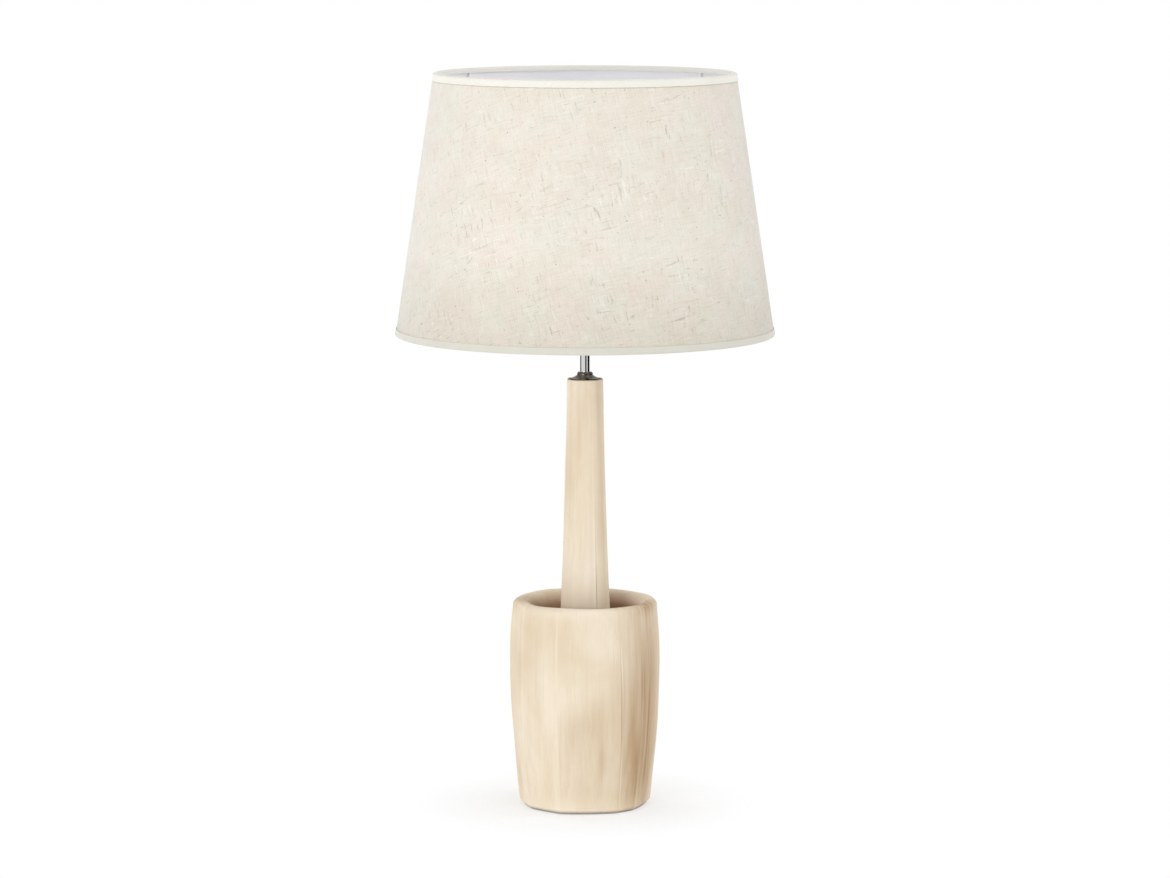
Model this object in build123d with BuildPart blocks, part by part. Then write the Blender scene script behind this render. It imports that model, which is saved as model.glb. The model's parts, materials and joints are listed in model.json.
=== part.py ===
from build123d import *
import os
from math import atan2, cos, degrees, radians, sin

# Column table lamp: a hand-shaved wooden pot, a tapered wooden column standing in its hollow,
# a threaded stem tube through both, a screw lampholder with its bulb, and a linen drum shade.
# Millimetres. +Z is up, the front of the lamp looks along -Y, and the origin is on the
# surface that the lamp stands on, below its axis.

os.makedirs("parts", exist_ok=True)

# ---------------------------------------------------------------- driving dimensions

# Clearances
glue_gap = 0.1          # between layers that are glued, pressed or welded together
slip_gap = 0.3          # between pieces that move on each other
overrun = 1.0           # how far a cut runs past the face it opens

# Felt under the pot
felt_thickness = 2.0
felt_inset = 3.5        # from the pot's edge

# Pot: corner radii of its shaved section from the foot to the lip
pot_height = 207.0
pot_foot_radius = 65.7
pot_flank_radius = 72.0
pot_belly_radius = 75.3
pot_shoulder_radius = 74.3
pot_rim_radius = 72.2
pot_flank_share = 0.30      # height of each section as a share of the pot's height
pot_belly_share = 0.66
pot_shoulder_share = 0.87
pot_corner_angles = (-92, -58, -22, 29, 49, 92, 126, 160, 206, 238)    # from the front, anticlockwise
pot_back_corners = (160, 206)   # the facet at the back, where the lead goes in
pot_crown = 0.45            # bulge of a facet: 0 is flat, 1 is round
foot_chamfer = 2.0

# Hollow of the pot
hollow_depth = 110.0
hollow_mouth_radius = 52.0
hollow_floor_radius = 46.0
hollow_corner_radius = 12.0
lip_inner_height = 14.0     # the lip's inner side is well rounded
lip_inner_width = 13.0
lip_outer_height = 6.0      # and its outer side less so
lip_outer_width = 6.0
lip_margin = 0.6            # from the rim's corners out to where the lip's outer side starts

# Recess under the pot
recess_radius = 42.0
recess_depth = 16.0
counterbore_radius = 16.5
counterbore_depth = 12.0

# Column
column_length = 332.0
column_foot_radius = 30.0
column_waist_radius = 22.8
column_top_radius = 18.4
column_waist_share = 0.49
column_corner_angles = (-72, -30, 30, 78, 120, 165, 205, 248)
column_crown = 0.5
column_edge = 0.8           # chamfer round the top

# Stem tube
tube_radius = 5.0
tube_bore_radius = 3.5
tube_fit = 0.3              # from the tube to the holes it passes through
thread_fit = 0.1            # from the tube to what is screwed on it
tube_exposed = 127.0        # from the column's top to the lampholder
tube_below_nut = 3.0

# Washers and nuts on the tube
washer_radius = 14.0
washer_thickness = 1.6
tooth_washer_radius = 8.0
tooth_washer_thickness = 0.8
tooth_count = 12
tooth_length = 1.2
tooth_width = 1.4
base_nut_across_flats = 14.0
column_nut_across_flats = 12.0
nut_sides = 6
base_nut_height = 4.0
column_nut_height = 2.5

# Cup on the column's top
cup_radius = 14.6
cup_edge_height = 0.8
cup_height = 7.0
cup_bead_radius = 8.0
cup_bead_height = 3.2
cup_bead_top_radius = 6.3
cup_flare_out = 0.45        # middle of the flare: share of the way out from the bead to the edge
cup_flare_up = 0.36         # and of the way up from the edge to the bead
cup_bead_up = 0.55          # middle of the bead's side, as a share of its height
cup_bead_out = 0.9          # and as a share of the way out from its top to its foot
cup_nut_clearance = 0.5

# Gland in the back of the pot
lead_in_height = 10.0       # axis of the gland and of the terminals
gland_bore_radius = 3.3
gland_body_radius = 4.5
gland_body_length = 21.0
gland_flange_radius = 6.8
gland_flange_thickness = 2.5
gland_seat_depth = 1.0

# Terminal block in the recess
block_width = 19.0
block_length = 20.0
block_height = 13.5
block_distance = 18.0       # from the lamp's axis to its near end
block_edge = 1.0
pole_spacing = 10.0
insert_radius = 2.5
insert_bore_radius = 1.5
insert_length = 18.0
clamp_screw_radius = 1.45
clamp_screw_spacing = 12.0
clamp_screw_recess = 0.6    # below the block's face
block_screw_radius = 1.5
block_screw_depth = 12.0    # into the wood
block_screw_head_radius = 2.9
block_screw_head_height = 1.7
slot_width = 0.6
slot_depth = 0.7

# Inner leads
lead_radius = 1.1
lead_spacing = 2.8          # inside the tube
lead_bend_radius = 7.0
lead_straight = 2.1         # straight length beside a bend
lead_turn_in = 3.6          # from the block to where a lead turns towards the axis
lead_flare = 1.0            # from the tube's top to where the leads part
lead_straighten = 2.5       # from there a lead turns upright, this far below its terminal
lead_grip = 4.0             # length held in a terminal

# Lampholder, heights from its lower end
holder_neck_radius = 8.5
holder_neck_height = 8.0
holder_cap_radius = 20.5
holder_dome_height = 12.0
holder_cap_height = 38.0
holder_wall = 2.0
core_bottom = 27.0
core_radius = 18.2
core_step_height = 35.0
core_step_radius = 16.0
terminal_size = 6.0
terminal_spacing = 16.0
terminal_bore_radius = 1.3
terminal_screw_radius = 1.2
terminal_screw_length = 2.6
set_screw_radius = 1.5
set_screw_height = 4.0
shoulder_radius = 24.0
shoulder_thickness = 4.0
skirt_web = 1.0             # between the collar and the barrel
seat_height = 44.0          # where the shade's middle ring sits
barrel_radius = 19.6
barrel_bore_radius = 14.6
barrel_height = 30.0
shell_bore_radius = 13.5
shell_wall = 0.6
shell_height = 22.0
shell_floor_width = 3.0
contact_width = 5.0
contact_thickness = 0.5
contact_reach = 8.0
contact_flat = 2.7          # half the length of its raised end

# Push bar of the lampholder's switch
bar_radius = 2.5
bar_height = 32.0           # above the holder's lower end
bar_proud = 2.0             # how far its short side sticks out
bar_travel = 4.0
bar_edge = 0.8
bar_groove_depth = 0.7
bridge_radius = 3.8
bridge_width = 3.0

# Bulb, heights from its contact
bulb_lift = 5.0             # from the core's top to the bulb's contact
bulb_length = 110.0
bulb_radius = 30.0
bulb_contact_radius = 4.8
bulb_contact_thickness = 1.0
bulb_insulator_height = 5.0
bulb_insulator_step = 0.5
bulb_cap_radius = 13.1
bulb_cap_height = 26.0
bulb_thread_depth = 0.9
bulb_thread_count = 5
bulb_housing_height = 42.0
bulb_housing_radius = 29.0
bulb_housing_neck = 14.0
bulb_neck_height = 6.0
bulb_neck_slope = (0.35, 1)     # direction of the housing's side where it leaves its neck
bulb_top_slope = (0.28, 1)      # and where the globe takes over
bulb_wall = 1.2
bulb_board_thickness = 1.6
bulb_board_inset = 0.9      # from the housing's inner face at its top
bulb_led_circle = 16.0
bulb_led_count = 10
bulb_led_size = 2.8
bulb_led_height = 0.7

# Shade
shade_height = 261.0
shade_top_radius = 150.5
shade_bottom_radius = 189.5
shade_drop = 134.0          # from its top edge down to its middle ring
linen_thickness = 0.8
lining_thickness = 0.5
tape_thickness = 0.6
top_tape_width = 7.6
bottom_tape_width = 7.2
tape_turn_in = 5.0          # how far the tapes reach down inside
wire_radius = 1.5
fitter_radius = 31.0
fitter_thickness = 1.5
fitter_play = 0.9           # between the fitter ring and the barrel
arm_angles = (-52, 52, 180)     # of the spider's arms, from the back
arm_start = 27.8            # radius where an arm is welded on the fitter ring
arm_knee = 40.0             # radius where an arm turns up
arm_hang = 14.0             # how far an arm follows the shade down from its top edge
arm_bend_radius = 12.0

# Ring that clamps the shade
clamp_ring_flange_radius = 26.0
clamp_ring_radius = 23.0
clamp_ring_flange_thickness = 2.5
clamp_ring_height = 9.0
clamp_ring_ribs = 16
clamp_ring_rib_radius = 0.9

# ---------------------------------------------------------------- heights worked out from them

pot_bottom = felt_thickness
pot_top = pot_bottom + pot_height
hollow_floor = pot_top - hollow_depth
recess_ceiling = pot_bottom + recess_depth
counterbore_ceiling = recess_ceiling + counterbore_depth
column_top = hollow_floor + column_length
washer_bottom = counterbore_ceiling - washer_thickness
tooth_washer_bottom = washer_bottom - tooth_washer_thickness
base_nut_bottom = tooth_washer_bottom - base_nut_height
tube_bottom = base_nut_bottom - tube_below_nut
block_bottom = recess_ceiling - block_height
holder_bottom = column_top + tube_exposed
tube_top = holder_bottom + holder_neck_height
seat = holder_bottom + seat_height
barrel_top = seat + barrel_height
fitter_top = seat + fitter_thickness
bar_axis = holder_bottom + bar_height
bulb_bottom = seat + bulb_lift
shade_top = seat + shade_drop
shade_bottom = shade_top - shade_height

tube_hole_radius = tube_radius + tube_fit
thread_hole_radius = tube_radius + thread_fit

# ---------------------------------------------------------------- shared geometry


def around(radius, angle):
    """Point at a radius and at an angle from the front, anticlockwise seen from above."""
    return (radius * sin(radians(angle)), -radius * cos(radians(angle)))


def facet_middle(corner_radius, start, end, crown):
    """Radius at the middle of a facet between two corners."""
    flat = corner_radius * cos(radians(end - start) / 2)
    return flat + crown * (corner_radius - flat)


def shaved_section(height, corner_radius, corner_angles, crown):
    """Section of a hand-shaved piece: a shallow arc from each corner to the next."""
    next_angles = corner_angles[1:] + (corner_angles[0] + 360,)
    with BuildSketch(Plane.XY.offset(height)) as section:
        with BuildLine():
            for start, end in zip(corner_angles, next_angles):
                middle_radius = facet_middle(corner_radius, start, end, crown)
                ThreePointArc(
                    around(corner_radius, start),
                    around(middle_radius, (start + end) / 2),
                    around(corner_radius, end),
                )
        make_face()
    return section.sketch


def band(inner, outer, low, high):
    """Half section of a ring, drawn in the sketch that is open."""
    with Locations(((inner + outer) / 2, (low + high) / 2)):
        Rectangle(outer - inner, high - low)


shade_slope = (shade_bottom_radius - shade_top_radius) / shade_height
shade_tilt = atan2(shade_bottom_radius - shade_top_radius, shade_height)


def shade_radius(height, depth):
    """Radius of the shade at a height, at a depth inwards from the linen's outer face."""
    outer = shade_top_radius + shade_slope * (shade_top - height)
    linen = tape_thickness + glue_gap
    return outer - (linen + depth) / cos(shade_tilt)


def shade_layer(depth, thickness, low, high):
    """Half section of one layer of the shade's side, drawn in the sketch that is open."""
    inner = depth + thickness
    with BuildLine(mode=Mode.PRIVATE) as outline:
        Polyline(
            (shade_radius(low, depth), low),
            (shade_radius(high, depth), high),
            (shade_radius(high, inner), high),
            (shade_radius(low, inner), low),
            close=True,
        )
    make_face(outline.edges())


lining_depth = linen_thickness + glue_gap
wire_depth = lining_depth + lining_thickness + glue_gap + wire_radius
turn_in_depth = wire_depth + wire_radius + glue_gap
top_wire_height = shade_top - tape_thickness - glue_gap - wire_radius
bottom_wire_height = shade_bottom + tape_thickness + glue_gap + wire_radius
skin_top = shade_top - tape_thickness - glue_gap
skin_bottom = shade_bottom + tape_thickness + glue_gap

# ---------------------------------------------------------------- pot

pot_back = facet_middle(pot_foot_radius, *pot_back_corners, pot_crown)
gland_seat = pot_back - gland_seat_depth

with BuildPart() as pot:
    loft(
        sections=[
            shaved_section(pot_bottom, pot_foot_radius, pot_corner_angles, pot_crown),
            shaved_section(
                pot_bottom + pot_flank_share * pot_height, pot_flank_radius, pot_corner_angles, pot_crown
            ),
            shaved_section(
                pot_bottom + pot_belly_share * pot_height, pot_belly_radius, pot_corner_angles, pot_crown
            ),
            shaved_section(
                pot_bottom + pot_shoulder_share * pot_height,
                pot_shoulder_radius,
                pot_corner_angles,
                pot_crown,
            ),
            shaved_section(pot_top, pot_rim_radius, pot_corner_angles, pot_crown),
        ]
    )
    # What the lathe leaves: the rounded lip, the hollow and the recess, with the outside left uncut
    with BuildSketch(Plane.XZ):
        with BuildLine():
            lip_outside = pot_rim_radius + lip_margin
            outer_middle = (lip_outside - lip_outer_width, pot_top - lip_outer_height)
            inner_middle = (hollow_mouth_radius + lip_inner_width, pot_top - lip_inner_height)
            outside = pot_belly_radius + foot_chamfer
            chamfer_start = pot_foot_radius - foot_chamfer
            EllipticalCenterArc(outer_middle, lip_outer_width, lip_outer_height, 0, arc_size=90)
            Line((outer_middle[0], pot_top), (inner_middle[0], pot_top))
            EllipticalCenterArc(inner_middle, lip_inner_width, lip_inner_height, 90, arc_size=90)
            Polyline(
                (hollow_mouth_radius, inner_middle[1]),
                (hollow_floor_radius, hollow_floor),
                (tube_hole_radius, hollow_floor),
                (tube_hole_radius, counterbore_ceiling),
                (counterbore_radius, counterbore_ceiling),
                (counterbore_radius, recess_ceiling),
                (recess_radius, recess_ceiling),
                (recess_radius, pot_bottom),
                (chamfer_start, pot_bottom),
                (outside, pot_bottom + outside - chamfer_start),
                (outside, outer_middle[1]),
                (lip_outside, outer_middle[1]),
            )
        make_face()
    revolve(axis=Axis.Z, mode=Mode.INTERSECT)
    floor_edge = pot.edges().filter_by(GeomType.CIRCLE).filter_by_position(
        Axis.Z, hollow_floor - glue_gap, hollow_floor + glue_gap
    ).sort_by(SortBy.RADIUS)[-1]
    fillet(floor_edge, hollow_corner_radius)
    # Way in for the lead, with a flat seat for the gland's flange
    with Locations(Plane.XZ.offset(-pot_belly_radius).shift_origin((0, pot_belly_radius, lead_in_height))):
        Cylinder(
            gland_body_radius + glue_gap,
            pot_belly_radius - recess_radius + overrun,
            align=(Align.CENTER, Align.CENTER, Align.MIN),
            mode=Mode.SUBTRACT,
        )
        Cylinder(
            gland_flange_radius + glue_gap,
            pot_belly_radius - gland_seat,
            align=(Align.CENTER, Align.CENTER, Align.MIN),
            mode=Mode.SUBTRACT,
        )
    # Pilot hole for the terminal block's screw
    with Locations((0, block_distance + block_length / 2, recess_ceiling)):
        Cylinder(
            block_screw_radius + glue_gap,
            block_screw_depth + glue_gap,
            align=(Align.CENTER, Align.CENTER, Align.MIN),
            mode=Mode.SUBTRACT,
        )
pot.part.label = "pot"
export_step(pot.part, "parts/pot.step")

# ---------------------------------------------------------------- felt

with BuildPart() as base_felt:
    add(shaved_section(0, pot_foot_radius - felt_inset, pot_corner_angles, pot_crown))
    extrude(amount=felt_thickness)
base_felt.part.label = "base_felt"
export_step(base_felt.part, "parts/base_felt.step")

# ---------------------------------------------------------------- column

with BuildPart() as column:
    loft(
        sections=[
            shaved_section(hollow_floor, column_foot_radius, column_corner_angles, column_crown),
            shaved_section(
                hollow_floor + column_waist_share * column_length,
                column_waist_radius,
                column_corner_angles,
                column_crown,
            ),
            shaved_section(column_top, column_top_radius, column_corner_angles, column_crown),
        ]
    )
    chamfer(column.faces().sort_by(Axis.Z)[-1].edges(), column_edge)
    with Locations((0, 0, hollow_floor)):
        Cylinder(
            tube_hole_radius,
            column_length,
            align=(Align.CENTER, Align.CENTER, Align.MIN),
            mode=Mode.SUBTRACT,
        )
column.part.label = "column"
export_step(column.part, "parts/column.step")

# ---------------------------------------------------------------- stem tube, nuts and washers

with BuildPart() as stem_tube:
    with BuildSketch(Plane.XZ):
        band(tube_bore_radius, tube_radius, tube_bottom, tube_top)
    revolve(axis=Axis.Z)
stem_tube.part.label = "stem_tube"
export_step(stem_tube.part, "parts/stem_tube.step")

with BuildPart() as base_washer:
    with BuildSketch(Plane.XZ):
        band(tube_hole_radius, washer_radius, washer_bottom, counterbore_ceiling)
    revolve(axis=Axis.Z)
base_washer.part.label = "base_washer"
export_step(base_washer.part, "parts/base_washer.step")

with BuildPart() as tooth_lock_washer:
    with BuildSketch(Plane.XY.offset(tooth_washer_bottom)):
        Circle(tooth_washer_radius)
        with PolarLocations(tooth_washer_radius, tooth_count):
            Rectangle(2 * tooth_length, tooth_width)
        Circle(tube_hole_radius, mode=Mode.SUBTRACT)
    extrude(amount=tooth_washer_thickness)
tooth_lock_washer.part.label = "tooth_lock_washer"
export_step(tooth_lock_washer.part, "parts/tooth_lock_washer.step")

with BuildPart() as base_nut:
    with BuildSketch(Plane.XY.offset(base_nut_bottom)):
        RegularPolygon(base_nut_across_flats / 2, nut_sides, major_radius=False)
        Circle(thread_hole_radius, mode=Mode.SUBTRACT)
    extrude(amount=base_nut_height)
base_nut.part.label = "base_nut"
export_step(base_nut.part, "parts/base_nut.step")

with BuildPart() as column_nut:
    with BuildSketch(Plane.XY.offset(column_top)):
        RegularPolygon(column_nut_across_flats / 2, nut_sides, major_radius=False)
        Circle(thread_hole_radius, mode=Mode.SUBTRACT)
    extrude(amount=column_nut_height)
column_nut.part.label = "column_nut"
export_step(column_nut.part, "parts/column_nut.step")

# ---------------------------------------------------------------- cup on the column

nut_corner_radius = column_nut_across_flats / 2 / cos(radians(180 / nut_sides))

with BuildPart() as column_cup:
    with BuildSketch(Plane.XZ):
        with BuildLine():
            cup_top = column_top + cup_height
            bead_foot = cup_top - cup_bead_height
            shoulder = column_top + cup_edge_height
            flare_middle = (
                cup_bead_radius + cup_flare_out * (cup_radius - cup_bead_radius),
                shoulder + cup_flare_up * (bead_foot - shoulder),
            )
            bead_middle = (
                cup_bead_top_radius + cup_bead_out * (cup_bead_radius - cup_bead_top_radius),
                bead_foot + cup_bead_up * cup_bead_height,
            )
            Line((cup_radius, column_top), (cup_radius, shoulder))
            ThreePointArc((cup_radius, shoulder), flare_middle, (cup_bead_radius, bead_foot))
            ThreePointArc((cup_bead_radius, bead_foot), bead_middle, (cup_bead_top_radius, cup_top))
            Polyline(
                (cup_bead_top_radius, cup_top),
                (thread_hole_radius, cup_top),
                (thread_hole_radius, column_top + column_nut_height + cup_nut_clearance),
                (nut_corner_radius + cup_nut_clearance, column_top + column_nut_height + cup_nut_clearance),
                (nut_corner_radius + cup_nut_clearance, column_top),
                (cup_radius, column_top),
            )
        make_face()
    revolve(axis=Axis.Z)
column_cup.part.label = "column_cup"
export_step(column_cup.part, "parts/column_cup.step")

# ---------------------------------------------------------------- gland for the mains lead

with BuildPart() as cord_gland:
    with BuildSketch(Plane.XZ.offset(-gland_seat)):
        with Locations((0, lead_in_height)):
            Circle(gland_body_radius)
            Circle(gland_bore_radius, mode=Mode.SUBTRACT)
    extrude(amount=gland_body_length)
    with BuildSketch(Plane.XZ.offset(-gland_seat)):
        with Locations((0, lead_in_height)):
            Circle(gland_flange_radius)
            Circle(gland_bore_radius, mode=Mode.SUBTRACT)
    extrude(amount=-gland_flange_thickness)
    rim = cord_gland.faces().sort_by(Axis.Y)[-1].edges().sort_by(SortBy.RADIUS)[-1]
    fillet(rim, gland_flange_thickness / 2)
cord_gland.part.label = "cord_gland"
export_step(cord_gland.part, "parts/cord_gland.step")

# ---------------------------------------------------------------- terminal block in the recess

block_middle = block_distance + block_length / 2
clamp_screw_low = block_bottom + clamp_screw_recess
clamp_screw_high = lead_in_height - lead_radius - glue_gap

with BuildPart() as connector_block:
    with Locations((0, block_middle, block_bottom)):
        Box(block_width, block_length, block_height, align=(Align.CENTER, Align.CENTER, Align.MIN))
    chamfer(connector_block.edges().filter_by(Axis.Z), block_edge)
    with Locations(Plane.XZ.offset(-block_middle)):
        with Locations((-pole_spacing / 2, lead_in_height), (pole_spacing / 2, lead_in_height)):
            Cylinder(insert_radius + glue_gap, block_length, mode=Mode.SUBTRACT)
    with Locations((0, block_middle, block_bottom)):
        Cylinder(
            block_screw_radius + glue_gap,
            block_height,
            align=(Align.CENTER, Align.CENTER, Align.MIN),
            mode=Mode.SUBTRACT,
        )
        with GridLocations(pole_spacing, clamp_screw_spacing, 2, 2):
            Cylinder(
                clamp_screw_radius + glue_gap,
                lead_in_height - block_bottom,
                align=(Align.CENTER, Align.CENTER, Align.MIN),
                mode=Mode.SUBTRACT,
            )
connector_block.part.label = "connector_block"
export_step(connector_block.part, "parts/connector_block.step")

with BuildPart() as block_inserts:
    with BuildSketch(Plane.XZ.offset(-block_middle)):
        with Locations((-pole_spacing / 2, lead_in_height), (pole_spacing / 2, lead_in_height)):
            Circle(insert_radius)
            Circle(insert_bore_radius, mode=Mode.SUBTRACT)
    extrude(amount=insert_length / 2, both=True)
    with Locations((0, block_middle, block_bottom)):
        with GridLocations(pole_spacing, clamp_screw_spacing, 2, 2):
            Cylinder(
                clamp_screw_radius + glue_gap,
                lead_in_height - block_bottom,
                align=(Align.CENTER, Align.CENTER, Align.MIN),
                mode=Mode.SUBTRACT,
            )
block_inserts.part.label = "block_inserts"
export_step(block_inserts.part, "parts/block_inserts.step")

with BuildPart() as clamp_screws:
    with Locations((0, block_middle, clamp_screw_low)):
        with GridLocations(pole_spacing, clamp_screw_spacing, 2, 2):
            Cylinder(
                clamp_screw_radius,
                clamp_screw_high - clamp_screw_low,
                align=(Align.CENTER, Align.CENTER, Align.MIN),
            )
            Box(
                2 * clamp_screw_radius,
                slot_width,
                slot_depth,
                align=(Align.CENTER, Align.CENTER, Align.MIN),
                mode=Mode.SUBTRACT,
            )
clamp_screws.part.label = "clamp_screws"
export_step(clamp_screws.part, "parts/clamp_screws.step")

with BuildPart() as block_screw:
    with BuildSketch(Plane.XY.offset(block_bottom)):
        with Locations((0, block_middle)):
            Circle(block_screw_radius)
    extrude(amount=block_height + block_screw_depth)
    with BuildSketch(Plane.XY.offset(block_bottom - block_screw_head_height)):
        with Locations((0, block_middle)):
            Circle(block_screw_head_radius)
    extrude(amount=block_screw_head_height)
    with Locations((0, block_middle, block_bottom - block_screw_head_height)):
        Box(
            2 * block_screw_head_radius,
            slot_width,
            slot_depth,
            align=(Align.CENTER, Align.CENTER, Align.MIN),
            mode=Mode.SUBTRACT,
        )
block_screw.part.label = "block_screw"
export_step(block_screw.part, "parts/block_screw.step")

# ---------------------------------------------------------------- inner leads

terminal_bottom = holder_bottom + core_bottom - terminal_size


def lead_route(side):
    """Corners of an inner lead: from its terminal, in under the tube, up it and out to the holder."""
    pole = side * pole_spacing / 2
    inside = side * lead_spacing / 2
    top = side * terminal_spacing / 2
    return [
        (pole, block_distance + lead_grip, lead_in_height),
        (pole, block_distance - lead_turn_in, lead_in_height),
        (inside, lead_bend_radius + lead_straight, lead_in_height),
        (inside, 0, lead_in_height),
        (inside, 0, tube_top + lead_flare),
        (top, 0, terminal_bottom - lead_straighten),
        (top, 0, terminal_bottom + lead_grip),
    ]


lead_bends = (lead_bend_radius,) * (len(lead_route(1)) - 2)    # one at each inner corner

with BuildPart() as live_lead:
    with BuildLine():
        live_path = FilletPolyline(*lead_route(1), radius=lead_bends)
    with BuildSketch(Plane(origin=live_path @ 0, z_dir=live_path % 0)):
        Circle(lead_radius)
    sweep()
live_lead.part.label = "live_lead"
export_step(live_lead.part, "parts/live_lead.step")

with BuildPart() as neutral_lead:
    with BuildLine():
        neutral_path = FilletPolyline(*lead_route(-1), radius=lead_bends)
    with BuildSketch(Plane(origin=neutral_path @ 0, z_dir=neutral_path % 0)):
        Circle(lead_radius)
    sweep()
neutral_lead.part.label = "neutral_lead"
export_step(neutral_lead.part, "parts/neutral_lead.step")

# ---------------------------------------------------------------- lampholder

cap_inner_radius = holder_cap_radius - holder_wall
dome_run = holder_cap_radius - holder_neck_radius
dome_top = holder_bottom + holder_neck_height + holder_dome_height
cap_rim = holder_bottom + holder_cap_height
core_top = seat

with BuildPart() as holder_cap:
    with BuildSketch(Plane.XZ):
        with BuildLine():
            EllipticalCenterArc(
                (holder_neck_radius, dome_top), dome_run, holder_dome_height, 270, arc_size=90
            )
            Polyline(
                (holder_cap_radius, dome_top),
                (holder_cap_radius, cap_rim),
                (cap_inner_radius, cap_rim),
                (cap_inner_radius, dome_top),
            )
            EllipticalCenterArc(
                (holder_neck_radius, dome_top),
                dome_run - holder_wall,
                holder_dome_height - holder_wall,
                270,
                arc_size=90,
            )
            Polyline(
                (holder_neck_radius, dome_top - holder_dome_height + holder_wall),
                (thread_hole_radius, dome_top - holder_dome_height + holder_wall),
                (thread_hole_radius, holder_bottom),
                (holder_neck_radius, holder_bottom),
                (holder_neck_radius, dome_top - holder_dome_height),
            )
        make_face()
    revolve(axis=Axis.Z)
    with Locations(Plane.YZ.shift_origin((0, 0, bar_axis))):
        Cylinder(bar_radius + slip_gap, 2 * (holder_cap_radius + overrun), mode=Mode.SUBTRACT)
    with Locations(Plane.XZ.shift_origin((0, 0, holder_bottom + set_screw_height))):
        Cylinder(
            set_screw_radius + glue_gap,
            holder_cap_radius,
            align=(Align.CENTER, Align.CENTER, Align.MIN),
            mode=Mode.SUBTRACT,
        )
holder_cap.part.label = "holder_cap"
export_step(holder_cap.part, "parts/holder_cap.step")

with BuildPart() as holder_set_screw:
    with BuildSketch(Plane.XZ.offset(tube_radius + glue_gap / 2)):
        with Locations((0, holder_bottom + set_screw_height)):
            Circle(set_screw_radius)
    extrude(amount=holder_neck_radius - tube_radius)
    with Locations((0, -holder_neck_radius, holder_bottom + set_screw_height)):
        Box(2 * set_screw_radius, 2 * slot_depth, slot_width, mode=Mode.SUBTRACT)
holder_set_screw.part.label = "holder_set_screw"
export_step(holder_set_screw.part, "parts/holder_set_screw.step")

bridge_stop = (bridge_width + bar_travel) / 2 + slip_gap
bridge_space = bridge_radius + slip_gap

with BuildPart() as holder_core:
    with BuildSketch(Plane.XZ):
        band(0, core_radius, holder_bottom + core_bottom, holder_bottom + core_step_height)
        band(0, core_step_radius, holder_bottom + core_bottom, core_top)
    revolve(axis=Axis.Z)
    with Locations(Plane.YZ.shift_origin((0, 0, bar_axis))):
        Cylinder(bar_radius + slip_gap, 2 * (core_radius + overrun), mode=Mode.SUBTRACT)
    # Pocket of the switch's bridge, open at the bottom
    with Locations((0, 0, holder_bottom + core_bottom)):
        Box(
            2 * bridge_stop,
            2 * bridge_space,
            bar_axis + bridge_space - holder_bottom - core_bottom,
            align=(Align.CENTER, Align.CENTER, Align.MIN),
            mode=Mode.SUBTRACT,
        )
holder_core.part.label = "holder_core"
export_step(holder_core.part, "parts/holder_core.step")

with BuildPart() as holder_terminals:
    with Locations((0, 0, terminal_bottom)):
        with GridLocations(terminal_spacing, 1, 2, 1):
            Box(
                terminal_size,
                terminal_size,
                terminal_size,
                align=(Align.CENTER, Align.CENTER, Align.MIN),
            )
            Cylinder(
                terminal_bore_radius,
                lead_grip + glue_gap,
                align=(Align.CENTER, Align.CENTER, Align.MIN),
                mode=Mode.SUBTRACT,
            )
    with Locations(Plane.XZ.shift_origin((0, 0, terminal_bottom + terminal_size / 2))):
        with GridLocations(terminal_spacing, 1, 2, 1):
            Cylinder(
                terminal_screw_radius + glue_gap,
                terminal_size,
                align=(Align.CENTER, Align.CENTER, Align.MIN),
                mode=Mode.SUBTRACT,
            )
holder_terminals.part.label = "holder_terminals"
export_step(holder_terminals.part, "parts/holder_terminals.step")

with BuildPart() as terminal_screws:
    with BuildSketch(Plane.XZ.offset(lead_radius + glue_gap)):
        with Locations((0, terminal_bottom + terminal_size / 2)):
            with GridLocations(terminal_spacing, 1, 2, 1):
                Circle(terminal_screw_radius)
    extrude(amount=terminal_screw_length)
    with Locations((0, -lead_radius - glue_gap - terminal_screw_length, terminal_bottom + terminal_size / 2)):
        with GridLocations(terminal_spacing, 1, 2, 1):
            Box(2 * terminal_screw_radius, 2 * slot_depth, slot_width, mode=Mode.SUBTRACT)
terminal_screws.part.label = "terminal_screws"
export_step(terminal_screws.part, "parts/terminal_screws.step")

skirt_bore = core_step_radius + glue_gap

with BuildPart() as holder_skirt:
    with BuildSketch(Plane.XZ):
        # Spigot in the cap, collar on its rim, shoulder under the shade, threaded barrel
        band(skirt_bore, cap_inner_radius - glue_gap, holder_bottom + core_step_height, cap_rim)
        band(skirt_bore, holder_cap_radius, cap_rim, seat - shoulder_thickness)
        band(skirt_bore, shoulder_radius, seat - shoulder_thickness, seat)
        band(barrel_bore_radius, barrel_radius, seat, barrel_top)
        band(barrel_bore_radius, core_step_radius + skirt_web, seat, seat + skirt_web)
    revolve(axis=Axis.Z)
holder_skirt.part.label = "holder_skirt"
export_step(holder_skirt.part, "parts/holder_skirt.step")

with BuildPart() as screw_shell:
    with BuildSketch(Plane.XZ):
        band(shell_bore_radius, shell_bore_radius + shell_wall, core_top, core_top + shell_height)
        band(
            shell_bore_radius - shell_floor_width,
            shell_bore_radius + shell_wall,
            core_top,
            core_top + shell_wall,
        )
    revolve(axis=Axis.Z)
screw_shell.part.label = "screw_shell"
export_step(screw_shell.part, "parts/screw_shell.step")

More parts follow.
